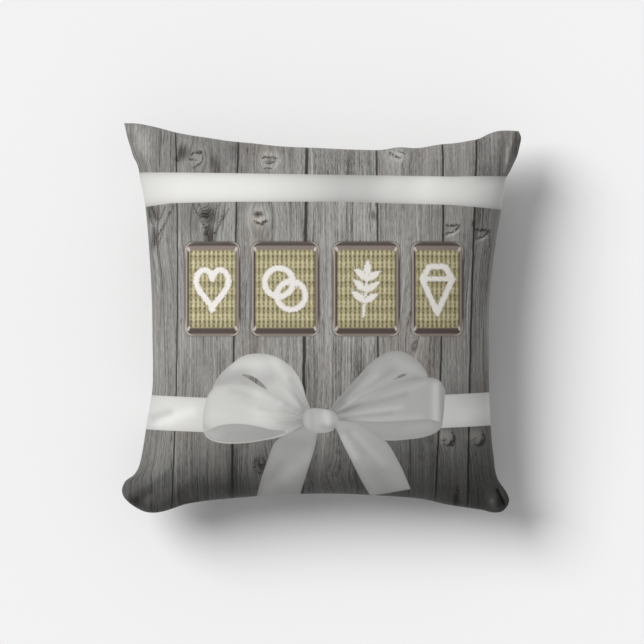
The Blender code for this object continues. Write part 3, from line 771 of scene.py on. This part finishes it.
def tile_fields(plan):
    """Distances past the nearest tile's sides, and the place across it, from -1 to 1."""
    x, y = plan[..., 0], plan[..., 1]
    past = np.stack([np.abs(x - cx) - half for cx, half in TILES])
    nearest = past.argmin(0)
    centre = np.array([tile[0] for tile in TILES])[nearest]
    half = np.array([tile[1] for tile in TILES])[nearest]
    up = (y - TILE_Y) / TILE_HALF_HEIGHT
    sides = np.stack([past.min(0), np.abs(y - TILE_Y) - TILE_HALF_HEIGHT, np.zeros_like(x)], -1)
    return sides, np.stack([(x - centre) / half, up, np.zeros_like(x)], -1)


def print_fields(plan, walls):
    """Everything the printed material reads, as named arrays for the mesh's points."""
    dark, pale = stain_and_fold_shade_field(plan)
    sides, place = tile_fields(plan)
    fields = {
        # The tone in the third place is partly painted shade towards the lower right.
        "print": np.stack([plan[..., 0], plan[..., 1], wood_tone_and_shade(plan)], -1),
        "grain": grain_field(plan, walls),
        "marks": np.stack([dark, pale, symbol_distance(plan)], -1),
        "tile": sides,
        "tile_place": place,
    }
    for index, ribbon in enumerate(RIBBONS):
        distance, level = ribbon(plan)
        light = np.clip(level, 0, 1) ** 2.2
        fields[f"ribbon_{index}"] = np.stack([distance, light, np.zeros_like(light)], -1)
    cracks = np.minimum.reduce([crack(plan, *spec) for spec in CRACKS])
    # The second value is the dark marks, one of them painted shade in a corner's fold.
    fields["cracks"] = np.stack([cracks, stroke_distance(plan), np.zeros_like(cracks)], -1)
    return fields


# Material tools


def colour(code):
    """A colour from its usual six hex digits, in linear light."""
    parts = [int(code[i : i + 2], 16) / 255 for i in (0, 2, 4)]
    return (*[c / 12.92 if c <= 0.04045 else ((c + 0.055) / 1.055) ** 2.4 for c in parts], 1.0)


class Nodes:
    """A short way to write a material's nodes. Colours may be hex digits."""

    def __init__(self, name, **sockets):
        self.material = bpy.data.materials.new(name)
        self.material.use_nodes = True
        self.tree = self.material.node_tree
        self.shader = self.tree.nodes["Principled BSDF"]
        self.finish(**sockets)

    def put(self, socket, value):
        if isinstance(value, bpy.types.NodeSocket):
            self.tree.links.new(value, socket)
        else:
            socket.default_value = colour(value) if isinstance(value, str) else value

    def node(self, kind, *values, **settings):
        made = self.tree.nodes.new(f"ShaderNode{kind}")
        for key, value in settings.items():
            setattr(made, key, value)
        for socket, value in zip(made.inputs, values):
            if value is not None:
                self.put(socket, value)
        return made

    def math(self, operation, *values):
        return self.node("Math", *values, operation=operation).outputs[0]

    add = partialmethod(math, "ADD")
    sub = partialmethod(math, "SUBTRACT")
    mul = partialmethod(math, "MULTIPLY")
    madd = partialmethod(math, "MULTIPLY_ADD")
    high = partialmethod(math, "MAXIMUM")
    low = partialmethod(math, "MINIMUM")
    size = partialmethod(math, "ABSOLUTE")
    over = partialmethod(math, "GREATER_THAN")
    under = partialmethod(math, "LESS_THAN")

    def field(self, name):
        return self.node("Attribute", attribute_name=name).outputs["Vector"]

    def place(self):
        """The point's own place on the object, in millimetres."""
        return self.scaled(self.node("TexCoord").outputs["Object"], (1 / MM, 1 / MM, 1 / MM))

    def split(self, vector):
        return self.node("SeparateXYZ", vector).outputs

    def join(self, *values):
        return self.node("CombineXYZ", *values).outputs[0]

    def scaled(self, vector, scale, shift=(0.0, 0.0, 0.0)):
        made = self.node("Mapping", vector, shift)
        made.inputs["Scale"].default_value = scale
        return made.outputs[0]

    def noise(self, vector, scale=1.0, detail=2.0, roughness=0.5, distortion=0.0):
        made = self.node("TexNoise", vector)
        values = dict(Scale=scale, Detail=detail, Roughness=roughness, Distortion=distortion)
        for key, value in values.items():
            made.inputs[key].default_value = value
        return made.outputs["Fac"]

    def step(self, value, low, high, out_low=0.0, out_high=1.0):
        ends = (value, low, high, out_low, out_high)
        return self.node("MapRange", *ends, interpolation_type="SMOOTHSTEP").outputs[0]

    def blend(self, share, a, b):
        """Mixes plain numbers."""
        return self.node("Mix", share, None, a, b, data_type="FLOAT").outputs[0]

    def mix(self, share, a, b, blend="MIX"):
        made = self.node("Mix", share, data_type="RGBA", blend_type=blend)
        self.put(made.inputs[6], a)
        self.put(made.inputs[7], b)
        return made.outputs[2]

    def ramp(self, value, stops):
        made = self.node("ValToRGB", value)
        band = made.color_ramp
        while len(band.elements) < len(stops):
            band.elements.new(0.5)
        for element, (place, tint) in zip(band.elements, stops):
            element.position, element.color = place, tint if isinstance(tint, tuple) else colour(tint)
        return made.outputs[0]

    def bump(self, height, depth, strength):
        made = self.node("Bump")
        for key, value in (("Strength", strength), ("Distance", depth), ("Height", height)):
            self.put(made.inputs[key], value)
        return made.outputs[0]

    def finish(self, **links):
        for socket, value in links.items():
            self.put(self.shader.inputs[socket.replace("_", " ")], value)
        return self.material


def wave(n, value, period, shift=0.0):
    """0 to 1 and back, once a period."""
    turn = n.madd(value, 2 * math.pi / period, shift)
    return n.madd(n.math("SINE", turn), 0.5, 0.5)


def cloth_weave(n, vector, pitch):
    """Height of a plain weave, with threads a pitch apart."""
    x, y, _ = n.split(vector)
    sets = [n.mul(wave(n, x, 2 * pitch, shift), wave(n, y, 2 * pitch, shift)) for shift in (0.0, math.pi)]
    return n.add(*sets)


# Printed cover material


def plank_lines(n, x, y):
    """Darkness of the gaps between planks, and each plank's number."""
    gap = number = 0.0
    wobble = n.madd(n.noise(n.join(0.0, y, 3.0), 0.035, 4.0, 0.6), 2.2, -1.1)
    for top, middle, bottom, half_width in PLANK_GAPS:
        slope = (top - bottom) / (2 * GAP_REACH)
        bend = ((top + bottom) / 2 - middle) / GAP_REACH**2
        curve = n.madd(n.madd(y, bend, slope), y, middle)
        off = n.add(n.sub(x, curve), wobble)
        gap = n.high(gap, n.step(n.size(off), half_width * 0.5, half_width + 0.9, 1.0, 0.0))
        number = n.add(number, n.over(off, 0.0))
    return gap, number


def hairlines(n, grain, scale, width, shift):
    """Thin lines along the grain, where a stretched noise crosses its middle value."""
    field = n.noise(n.scaled(grain, scale, shift), 1.0, 1.0)
    return n.step(n.size(n.sub(field, 0.5)), 0.0, width, 1.0, 0.0)


def wood(n):
    """Weathered grey planks."""
    x, y, level = n.split(n.field("print"))
    gap, number = plank_lines(n, x, y)
    gx, gy, _ = n.split(n.field("grain"))
    across, up = n.madd(number, 41.7, gx), n.madd(number, 173.0, gy)
    base = n.join(across, up, 0.0)
    drift = n.noise(n.scaled(base, (0.014, 0.0045, 1)))
    grain = n.join(n.madd(drift, 3.0, across), up, 0.0)
    fine = n.noise(n.scaled(grain, (0.52, 0.008, 1)), 1.0, 3.0, 0.7)
    broad = n.noise(n.scaled(grain, (0.13, 0.0035, 1)), 1.0, 3.0, 0.55)
    hair = n.noise(n.scaled(grain, (1.9, 0.12, 1)), 1.0, 2.0, 0.7)
    patch = n.noise(n.scaled(base, (0.05, 0.012, 1), (5, 9, 0)), 1.0, 3.0, 0.6)
    tone = n.noise(n.join(n.mul(number, 7.3), 0.5, 0.0), 1.0, 0.0)
    worn = n.step(n.noise(n.scaled(base, (0.06, 0.012, 1), (1, 70, 0))), 0.36, 0.62)
    cracks = n.mul(hairlines(n, grain, (0.26, 0.0045, 1), 0.03, (3, 1, 0)), worn)
    lights = hairlines(n, grain, (0.22, 0.0040, 1), 0.022, (9, 4, 0))
    # Stains and pale patches, among them painted shade and a painted highlight on a corner's fold.
    dark, pale, _ = n.split(n.field("marks"))
    value = 0.53
    for unevenness, amount in ((fine, 0.85), (broad, 0.36), (hair, 1.0), (patch, 0.45), (tone, 0.25)):
        value = n.madd(n.sub(unevenness, 0.5), amount, value)
    for mark, amount in ((cracks, -0.24), (lights, 0.18), (pale, 0.75), (dark, -0.7)):
        value = n.madd(mark, amount, value)
    tint = n.ramp(value, WOOD_SHADES)
    warmth = n.noise(n.scaled(base, (0.035, 0.010, 1), (40, 3, 0)))
    tint = n.mix(n.step(warmth, 0.48, 0.72, 0.0, 0.42), tint, n.mix(1.0, tint, "f3e2d8", "MULTIPLY"))
    tint = n.mix(n.mul(dark, 0.75), tint, "3b2f28")
    # The dark marks, one of them painted shade in the crease of a corner's fold.
    _, strokes, _ = n.split(n.field("cracks"))
    rough = n.madd(n.noise(n.scaled(base, (0.8, 0.5, 1)), 1.0, 3.0, 0.8), 7.0, -3.5)
    tint = n.mix(n.step(n.add(strokes, rough), -0.4, 1.0, 0.85, 0.0), tint, "2c2420")
    tint = n.mix(n.mul(gap, 0.92), tint, "211d1b")
    # The tone scales the wood's colour; it is partly painted shade towards the lower right.
    return n.mix(1.0, tint, n.join(level, level, level), "MULTIPLY")


def satin(n):
    """The printed ribbon: its colour, and where it covers the wood."""
    light, cover = 0.5, 0.0
    for index in range(len(RIBBONS)):
        distance, level, _ = n.split(n.field(f"ribbon_{index}"))
        here = n.step(distance, -0.45, 0.45, 1.0, 0.0)
        light = n.blend(here, light, level)
        cover = n.high(cover, here)
    cracks, _, _ = n.split(n.field("cracks"))
    return n.mix(light, "000000", (1.0, 0.994, 0.966, 1.0)), n.mul(cover, n.step(cracks, -0.5, 0.5))


def woven_tile(n, x, y):
    """Burlap in the tiles: light upright strands, crossed by short dashes and darker rows."""
    unrest = n.noise(n.join(x, y, 0.0), 0.16)
    x = n.madd(unrest, 1.6, x)
    y = n.madd(n.noise(n.join(x, y, 9.0), 0.2), 1.4, y)
    speck = n.noise(n.join(x, y, 5.0), 0.75, 3.0, 0.65)
    strands = n.step(wave(n, x, 4.5), 0.15, 0.85)
    dashes = n.mul(n.step(wave(n, y, 4.3), 0.35, 0.9), n.sub(1.0, strands))
    dashes = n.mul(dashes, n.step(speck, 0.3, 0.6))
    ply = wave(n, n.madd(x, 0.6, y), 2.2)
    rows = n.step(wave(n, y, 13.0, 0.8), 0.0, 0.7)
    value = 0.2
    for part, amount in ((strands, 0.28), (ply, 0.12), (dashes, -0.3), (rows, 0.16)):
        value = n.madd(part, amount, value)
    return n.ramp(n.madd(n.sub(speck, 0.5), 0.9, value), BURLAP_SHADES)


def tile_distance(n, past_x, past_y, corner):
    """Signed distance to a rounded outline, from the distances past its straight sides."""
    dx, dy = n.add(past_x, corner), n.add(past_y, corner)
    outer_x, outer_y = n.high(dx, 0.0), n.high(dy, 0.0)
    outer = n.math("SQRT", n.add(n.mul(outer_x, outer_x), n.mul(outer_y, outer_y)))
    return n.sub(n.add(outer, n.low(n.high(dx, dy), 0.0)), corner)


def frame_colours(n, depth, side_on, place_x, place_y):
    """Bevelled bars: each has its own shades from its outer edge inwards, (from, to, shade)."""
    end_on = n.sub(1.0, side_on)
    bars = (
        (1.0, "4c423d", ((3.4, 5.0, "7d726b"),)),
        (n.mul(side_on, n.under(place_x, 0.0)), "5f5650", ((1.6, 3.4, "978d85"), (4.4, 6.0, "453c38"))),
        (n.mul(side_on, n.over(place_x, 0.0)), "3e3632", ((2.4, 4.0, "857b73"), (6.2, 7.6, "5a504a"))),
        (n.mul(end_on, n.under(place_y, 0.0)), "776c65", ((2.0, 3.4, "4b413c"), (6.4, 8.0, "5d534d"))),
    )
    tint = bars[0][1]
    for here, shade, steps in bars:
        for start, end, code in steps:
            shade = n.mix(n.step(depth, start, end), shade, code)
        tint = n.mix(here, tint, shade)
    return tint


def framed_tiles(n, under):
    """Four bevelled frames with burlap and a white symbol in each, over what is under them."""
    x, y, _ = n.split(n.field("print"))
    past_x, past_y, _ = n.split(n.field("tile"))
    place_x, place_y, _ = n.split(n.field("tile_place"))
    outer = tile_distance(n, past_x, past_y, TILE_CORNER)
    even_x = n.mul(past_x, FRAME_END / FRAME_SIDE)
    depth = n.mul(tile_distance(n, even_x, past_y, BEVEL_CORNER), -1.0)
    inner = tile_distance(n, n.add(past_x, FRAME_SIDE), n.add(past_y, FRAME_END), OPENING_CORNER)
    tint = frame_colours(n, depth, n.over(even_x, past_y), place_x, place_y)
    mitre = n.size(n.sub(even_x, past_y))
    glint = n.mul(n.step(mitre, 0.6, 4.0, 1.0, 0.0), n.step(depth, 3.0, 5.0))
    tint = n.mix(n.mul(glint, 0.6), tint, "d9d3cb")
    edge = n.step(n.size(n.add(outer, 0.9)), 0.2, 1.0, 1.0, 0.0)
    tint = n.mix(n.mul(edge, n.step(mitre, 4.0, 20.0, 0.6, 0.06)), tint, "c4bdb5")
    weave = n.mix(n.step(inner, -3.0, 0.0, 0.0, 0.5), woven_tile(n, x, y), "4d4730")
    inside = n.step(inner, -0.35, 0.35, 1.0, 0.0)
    tint = n.mix(inside, tint, weave)
    _, _, symbol = n.split(n.field("marks"))
    symbol = n.add(symbol, n.madd(n.noise(n.join(x, y, 2.0), 0.8, 3.0, 0.8), 8.0, -4.0))
    tint = n.mix(n.mul(n.step(symbol, 0.2, 2.2, 0.45, 0.0), inside), tint, "6a6340")
    tint = n.mix(n.mul(n.step(symbol, -0.5, 0.6, 1.0, 0.0), inside), tint, "dad6d0")
    under = n.mix(n.step(outer, 0.0, 2.0, 0.3, 0.0), under, "3a3532")
    return n.mix(n.step(outer, -0.35, 0.35, 1.0, 0.0), under, tint)


def printed_material():
    n = Nodes("printed_cloth", Sheen_Weight=0.08, Sheen_Roughness=0.4, Specular_IOR_Level=0.25)
    planks = wood(n)
    ribbon, cover = satin(n)
    tint = framed_tiles(n, n.mix(cover, planks, ribbon))
    flat = n.field("flat")
    weave = cloth_weave(n, flat, PRINT_PITCH)
    slub = n.noise(n.scaled(flat, (0.35, 0.05, 1)), 1.0, 3.0)
    shade = n.ramp(weave, [(0.0, (0.55, 0.55, 0.55, 1)), (1.0, (1, 1, 1, 1))])
    tint = n.mix(0.10, tint, n.mix(1.0, tint, shade, "MULTIPLY"))
    normal = n.bump(n.madd(slub, 0.6, weave), 0.00012, 0.5)
    return n.finish(Base_Color=tint, Roughness=n.step(slub, 0.3, 0.7, 0.72, 0.84), Normal=normal)


def fabric_material(name, code, pitch, depth, roughness=0.85, sheen=0.1, field="flat"):
    """Plain woven cloth with slightly uneven threads, and painted shade where the weave dips."""
    n = Nodes(name, Roughness=roughness, Sheen_Weight=sheen, Sheen_Roughness=0.5)
    flat = n.field(field) if field else n.place()
    weave = cloth_weave(n, flat, pitch)
    uneven = n.noise(n.scaled(flat, (0.12, 0.12, 0.12)), 1.0, 4.0, 0.6)
    shade_and_uneven_tone = (*[0.78 * c for c in colour(code)[:3]], 1.0)
    # Painted shade where the weave's threads dip; the next line darkens uneven threads.
    tint = n.mix(n.madd(weave, -0.35, 0.5), code, shade_and_uneven_tone)
    tint = n.mix(n.step(uneven, 0.4, 0.75, 0.0, 0.3), tint, shade_and_uneven_tone)
    return n.finish(Base_Color=tint, Normal=n.bump(weave, depth, 0.6))


def fibre_material():
    n = Nodes("polyester_fibre", Roughness=0.95, Sheen_Weight=0.3, Sheen_Roughness=0.6)
    tufts = n.noise(n.place(), 0.06, 5.0, 0.65, 1.5)
    strands = n.noise(n.scaled(n.place(), (1.2, 0.3, 0.8)), 1.0, 4.0, 0.7, 2.0)
    normal = n.bump(n.madd(strands, 0.3, tufts), 0.002, 0.8)
    # Painted shade: the filling is lighter on its tufts and darker between them.
    return n.finish(Base_Color=n.mix(tufts, "d9d9d6", "f4f4f2"), Normal=normal)


def thread_material():
    n = Nodes("spun_thread", Roughness=0.55, Sheen_Weight=0.2)
    x, y, z = n.split(n.place())
    twist = wave(n, n.add(n.add(x, y), n.mul(z, 2.0)), 0.7)
    # Painted shade: darker in the grooves of the twist, lighter on its ridges.
    return n.finish(Base_Color=n.mix(twist, "8f8e8a", "c9c8c3"), Normal=n.bump(twist, 0.0001, 0.6))


def nylon_material():
    n = Nodes("zip_nylon", Coat_Weight=0.15)
    uneven = n.noise(n.place(), 0.8, 3.0)
    tint = n.mix(uneven, "a4a29d", "bdbbb6")
    return n.finish(Base_Color=tint, Roughness=n.step(uneven, 0.3, 0.7, 0.26, 0.42))


def metal_material():
    n = Nodes("plated_metal", Metallic=1.0)
    wear = n.noise(n.place(), 0.5, 5.0, 0.6)
    brushed = n.noise(n.scaled(n.place(), (0.4, 6.0, 6.0)), 1.0, 3.0, 0.6)
    tint = n.mix(n.step(wear, 0.45, 0.7), "c9c9cb", "a9a8a8")
    rough = n.madd(brushed, 0.16, n.step(wear, 0.4, 0.7, 0.18, 0.3))
    return n.finish(Base_Color=tint, Roughness=rough, Normal=n.bump(brushed, 0.00003, 0.4))


def floor_material():
    n = Nodes("pale_floor", Roughness=0.9, Specular_IOR_Level=0.0)
    mottle = n.noise(n.node("TexCoord").outputs["Object"], 3.0)
    return n.finish(Base_Color=n.mix(mottle, (0.800, 0.800, 0.800, 1), (0.806, 0.806, 0.806, 1)))


# Pieces


def add_piece(name, data, material, body, *nodes, slot=None):
    piece = bpy.data.objects.new(name, data)
    bpy.context.scene.collection.objects.link(piece)
    if material:
        data.materials.clear()
        data.materials.append(material)
    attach(piece, body)
    if nodes:
        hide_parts(*nodes)
    return piece


def mesh_from(name, points, quads, fields):
    data = bpy.data.meshes.new(name)
    data.from_pydata(points.tolist(), [], quads.tolist())
    for key, values in fields.items():
        layer = data.attributes.new(key, "FLOAT_VECTOR", "POINT")
        layer.data.foreach_set("vector", np.ascontiguousarray(values, dtype=np.float32).ravel())
    data.shade_smooth()
    return data


def skin(grid, angles, side):
    """One panel with its turned-in edge: points, faces and places on the flat cloth."""
    size = len(angles)
    flat = flat_sheet(size)
    loop = edge_loop(size - 1)
    outward = flat[loop[:, 0], loop[:, 1]]
    before = loop[:, 0] * size + loop[:, 1]
    points, flats = [grid.reshape(-1, 3)], [flat.reshape(-1, 3)]
    quads = [grid_faces(grid.shape, side < 0)]
    for k, ring in enumerate(lips(grid, angles, side)):
        number = size**2 + k * len(loop) + np.arange(len(loop))
        strip = np.stack([before, number, np.roll(number, -1), np.roll(before, -1)], -1)
        quads.append(strip[:, ::-1] if side < 0 else strip)
        points.append(ring)
        flats.append(outward * (1 + 0.004 * (k + 1)))
        before = number
    return np.vstack(points), np.vstack(quads), np.vstack(flats)


def wall_excess(points, flat):
    """How much longer the cloth is than its plan, each way, so that grain isn't drawn out."""
    spare = np.maximum(np.abs(flat[:, :2]) - np.abs(points[:, :2]), 0)
    return np.sign(flat[:, :2]) * spare


def thicken(piece, thickness, offset):
    modifier = piece.modifiers.new("cloth_thickness", "SOLIDIFY")
    modifier.thickness = thickness * MM
    modifier.offset = offset


def cover_panel(name, grid, angles, side, material, node, slot):
    points, quads, flat = skin(grid, angles, side)
    mirror = np.array([side, 1.0])
    fields = print_fields(points[:, :2] * mirror, wall_excess(points, flat) * mirror)
    data = mesh_from(name, placed(points), quads, {**fields, "flat": flat})
    piece = add_piece(name, data, material, "pillow", node, slot=slot)
    thicken(piece, CLOTH, -1.0)


def closed_form(name, halves, layer, material, nodes, slot, fluff=0.0):
    """The insert or its filling: both halves joined round the seam."""
    size = len(halves[0])
    loop = edge_loop(size - 1)
    rim = loop[:, 0] * size + loop[:, 1]
    behind = rim + size**2
    band = np.stack([rim, behind, np.roll(behind, -1), np.roll(rim, -1)], -1)
    front, back = (grid_faces((size, size), flip) for flip in (False, True))
    points = placed(np.vstack([half.reshape(-1, 3) for half in halves]), layer)
    if fluff:
        lumps = sum(np.sin(points @ np.array(direction) + shift) for direction, shift in LUMPS)
        centre = np.array([0, 0, SEAM_Z * MM])
        points = centre + (points - centre) * (1 + fluff * lumps[:, None])
    flat = np.vstack([flat_sheet(size).reshape(-1, 3)] * 2)
    data = mesh_from(name, points, np.vstack([front, back + size**2, band]), {"flat": flat})
    add_piece(name, data, material, "pillow", *nodes, slot=slot)


def wire(name, lines, radius, material, *nodes, slot, closed=False, sides=2):
    """A round wire or thread of the pillow, along one or more lines of points in metres."""
    data = bpy.data.curves.new(name, "CURVE")
    data.dimensions = "3D"
    data.bevel_depth = radius * MM
    data.bevel_resolution = sides
    data.use_fill_caps = not closed
    for points in lines:
        spline = data.splines.new("POLY")
        spline.points.add(len(points) - 1)
        spline.use_cyclic_u = closed
        for spot, point in zip(spline.points, points):
            spot.co = (*point, 1.0)
    add_piece(name, data, material, "pillow", *nodes, slot=slot)


def zip_point(x, depth, height):
    """A point behind the zip's lips, in metres."""
    angle = math.asin(x / ZIP_RADIUS)
    radius = ZIP_RADIUS + depth
    y = ZIP_LIP_Y - ZIP_RADIUS + radius * math.cos(angle)
    return (radius * math.sin(angle) * MM, y * MM, (SEAM_Z + height) * MM)


def zip_coil(word, up, material):
    """A nylon coil of flattened turns."""
    per_turn = 10
    depth, shade_and_uneven_tone, height, high = COIL_TURNS
    start, end = ZIP_FROM + COIL_INSET, ZIP_TO - COIL_INSET
    count = int((end - start) / COIL_PITCH * per_turn)
    line = []
    for i in range(count + 1):
        turn = 2 * math.pi * i / per_turn + (0 if up > 0 else math.pi)
        x = start + (end - start) * i / count
        line.append(zip_point(x, depth + shade_and_uneven_tone * math.cos(turn), up * (height + high * math.sin(turn))))
    wire(f"zip_coil_{word}", [line], 0.27, material, f"zipper_coil_{word}", slot="zip_coil", sides=1)


def zip_stitches(word, up, material):
    """A row of separate stitches that holds the tape to the cover's allowance."""
    profile = ((0, STITCH_DIP), (0.5, 0), (STITCH - 0.5, 0), (STITCH, STITCH_DIP))
    starts = np.arange(ZIP_FROM + 1.0, ZIP_TO - STITCH, STITCH_STEP)
    lines = [
        [zip_point(x + run, STITCH_DEPTH - dip, up * STITCH_HEIGHT) for run, dip in profile]
        for x in starts
    ]
    wire(f"zip_stitches_{word}", lines, 0.24, material, f"zipper_stitch_{word}", slot="seam_thread")


def seam_stitches(front, material):
    """The cover's seam, as a thread that steps from one panel to the other in the crease."""
    size = len(front)
    loop = edge_loop(size - 1)
    edge = inward(front[loop[:, 0], loop[:, 1], :2], SEAM_THREAD_TUCK)
    edge = np.roll(edge, (1 - size) // 2, axis=0)
    keep = ~((edge[:, 1] < ZIP_SIDE_Y) & (np.abs(edge[:, 0]) < ZIP_HIDDEN))
    first = int(np.argmax(keep & ~np.roll(keep, 1)))
    spots = along(np.roll(edge, -first, axis=0)[: keep.sum()], np.linspace(0, 1, SEAM_STEPS))
    height = SEAM_Z + 0.1 * (1 - 2 * (np.arange(SEAM_STEPS) % 2))
    points = np.column_stack([spots, height]) * MM
    wire("cover_seam_stitches", [points], 0.22, material, "cover_seam_thread", slot="seam_thread")


def insert_seam(front, material):
    loop = edge_loop(len(front) - 1)
    edge = front[loop[:, 0], loop[:, 1]] * np.array([1.0, 1.0, 0.0])
    lines = [placed(edge, INSERT)[::2]]
    wire("insert_seam_cord", lines, 0.5, material, "insert_seam_thread", slot="seam_thread", closed=True)


def care_label(back, angles, material):
    """A small blank satin label, sewn in near the zip's far end."""
    order = np.arange(len(angles))
    rows, columns = (np.interp(np.linspace(*ends), angles, order) for ends in (LABEL_ROWS, LABEL_COLUMNS))
    j, i = np.meshgrid(rows, columns, indexing="ij")
    i0, j0 = i.astype(int), j.astype(int)
    s, t = (i - i0)[..., None], (j - j0)[..., None]
    points = lerp(
        lerp(back[i0, j0], back[i0 + 1, j0], s), lerp(back[i0, j0 + 1], back[i0 + 1, j0 + 1], s), t
    )
    spots = placed(points.reshape(-1, 3), LABEL)
    data = mesh_from("care_label_blank", spots, grid_faces(points.shape), {})
    piece = add_piece("care_label_blank", data, material, "pillow", "care_label", slot="care_label")
    thicken(piece, LABEL_CLOTH, 0.0)


def rounded_copy(node, name, body, width, material):
    """A CAD piece of the zip with its edges broken."""
    piece = add_piece(name, bpy.data.objects[node].data.copy(), material, body, node, slot="zip_metal")
    piece.data.name = name
    piece.modifiers.new("weld", "WELD").merge_threshold = 0.01 * MM
    bevel = piece.modifiers.new("broken_edges", "BEVEL")
    bevel.width = width * MM
    bevel.segments = 2
    bevel.limit_method = "ANGLE"
    bevel.angle_limit = math.radians(35)


# Scene


def studio():
    """Pale floor, soft key light from the upper left, even fill, and the camera overhead."""
    scene = bpy.context.scene
    scene.view_settings.view_transform = "Standard"
    scene.world = scene.world or bpy.data.worlds.new("studio")
    scene.world.use_nodes = True
    fill = scene.world.node_tree.nodes["Background"].inputs
    fill["Color"].default_value = (1.0, 1.0, 1.0, 1.0)
    fill["Strength"].default_value = FILL_LIGHT
    light = bpy.data.lights.new("key", "SUN")
    light.energy = KEY_LIGHT
    light.angle = KEY_SPREAD
    key = bpy.data.objects.new("key", light)
    key.rotation_euler = Vector(KEY_FROM).to_track_quat("Z", "Y").to_euler()
    data = bpy.data.meshes.new("floor")
    corners = [(x * FLOOR_REACH, y * FLOOR_REACH, 0) for x, y in ((-1, -1), (1, -1), (1, 1), (-1, 1))]
    data.from_pydata(corners, [], [(0, 1, 2, 3)])
    data.materials.append(floor_material())
    floor = bpy.data.objects.new("floor", data)
    floor.location.z = FLOOR_Z
    lens = bpy.data.cameras.new("camera")
    lens.lens = LENS
    lens.sensor_width = SENSOR
    lens.clip_end = 100
    camera = bpy.data.objects.new("camera", lens)
    camera.location = (*CAMERA_XY, SEAM_Z * MM + VIEW_WIDTH * LENS / SENSOR)
    for thing in (key, floor, camera):
        scene.collection.objects.link(thing)
    scene.camera = camera


def build_soft_parts(front, back, angles, thread):
    printed = printed_material()
    panels = (("front", front, 1, "printed_fabric"), ("back", back, -1, "back_fabric"))
    for word, grid, side, slot in panels:
        cover_panel(f"cover_{word}_cloth", grid, angles, side, printed, f"cover_{word}_panel", slot)
    halves = [grid[::2, ::2] for grid in (front, back)]
    cotton = fabric_material("insert_cotton", "e9e7e2", 0.45, 0.0001)
    nodes = ("insert_front_panel", "insert_back_panel")
    closed_form("pillow_insert", halves, INSERT, cotton, nodes, "insert_fabric")
    fibre = fibre_material()
    closed_form("fibre_filling", halves, FILL, fibre, ["fibre_fill"], "fibre_fill", 0.003)
    seam_stitches(front, thread)
    insert_seam(front, thread)
    care_label(back, angles, fabric_material("label_satin", "eeeeea", 0.3, 0.00005, 0.45, 0.2, None))


def build_zip(thread):
    nylon, metal = nylon_material(), metal_material()
    tape = fabric_material("zip_tape_cloth", "aaa8a3", 0.4, 0.0001, 0.75, 0.1, None)
    for word, up in (("upper", 1), ("lower", -1)):
        zip_coil(word, up, nylon)
        zip_stitches(word, up, thread)
        rounded_copy(f"zipper_top_stop_{word}", f"zip_top_stop_{word}", "pillow", 0.15, metal)
        for place in bpy.data.objects[f"zipper_tape_{word}"].material_slots:
            place.material = tape
    rounded_copy("zipper_bottom_stop", "zip_bottom_stop", "pillow", 0.15, metal)
    rounded_copy("zipper_slider", "zip_slider_body", "slider", 0.16, metal)
    rounded_copy("zipper_pull_tab", "zip_pull", "pull_tab", 0.16, metal)


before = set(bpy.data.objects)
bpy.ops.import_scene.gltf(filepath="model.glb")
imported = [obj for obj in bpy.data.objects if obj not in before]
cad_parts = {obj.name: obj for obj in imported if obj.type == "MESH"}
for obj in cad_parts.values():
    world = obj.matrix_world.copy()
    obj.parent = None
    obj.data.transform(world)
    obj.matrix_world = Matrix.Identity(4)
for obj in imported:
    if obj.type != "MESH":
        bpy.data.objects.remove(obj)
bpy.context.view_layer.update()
studio()
seam_thread = thread_material()
build_soft_parts(*cover_forms(), seam_thread)
build_zip(seam_thread)
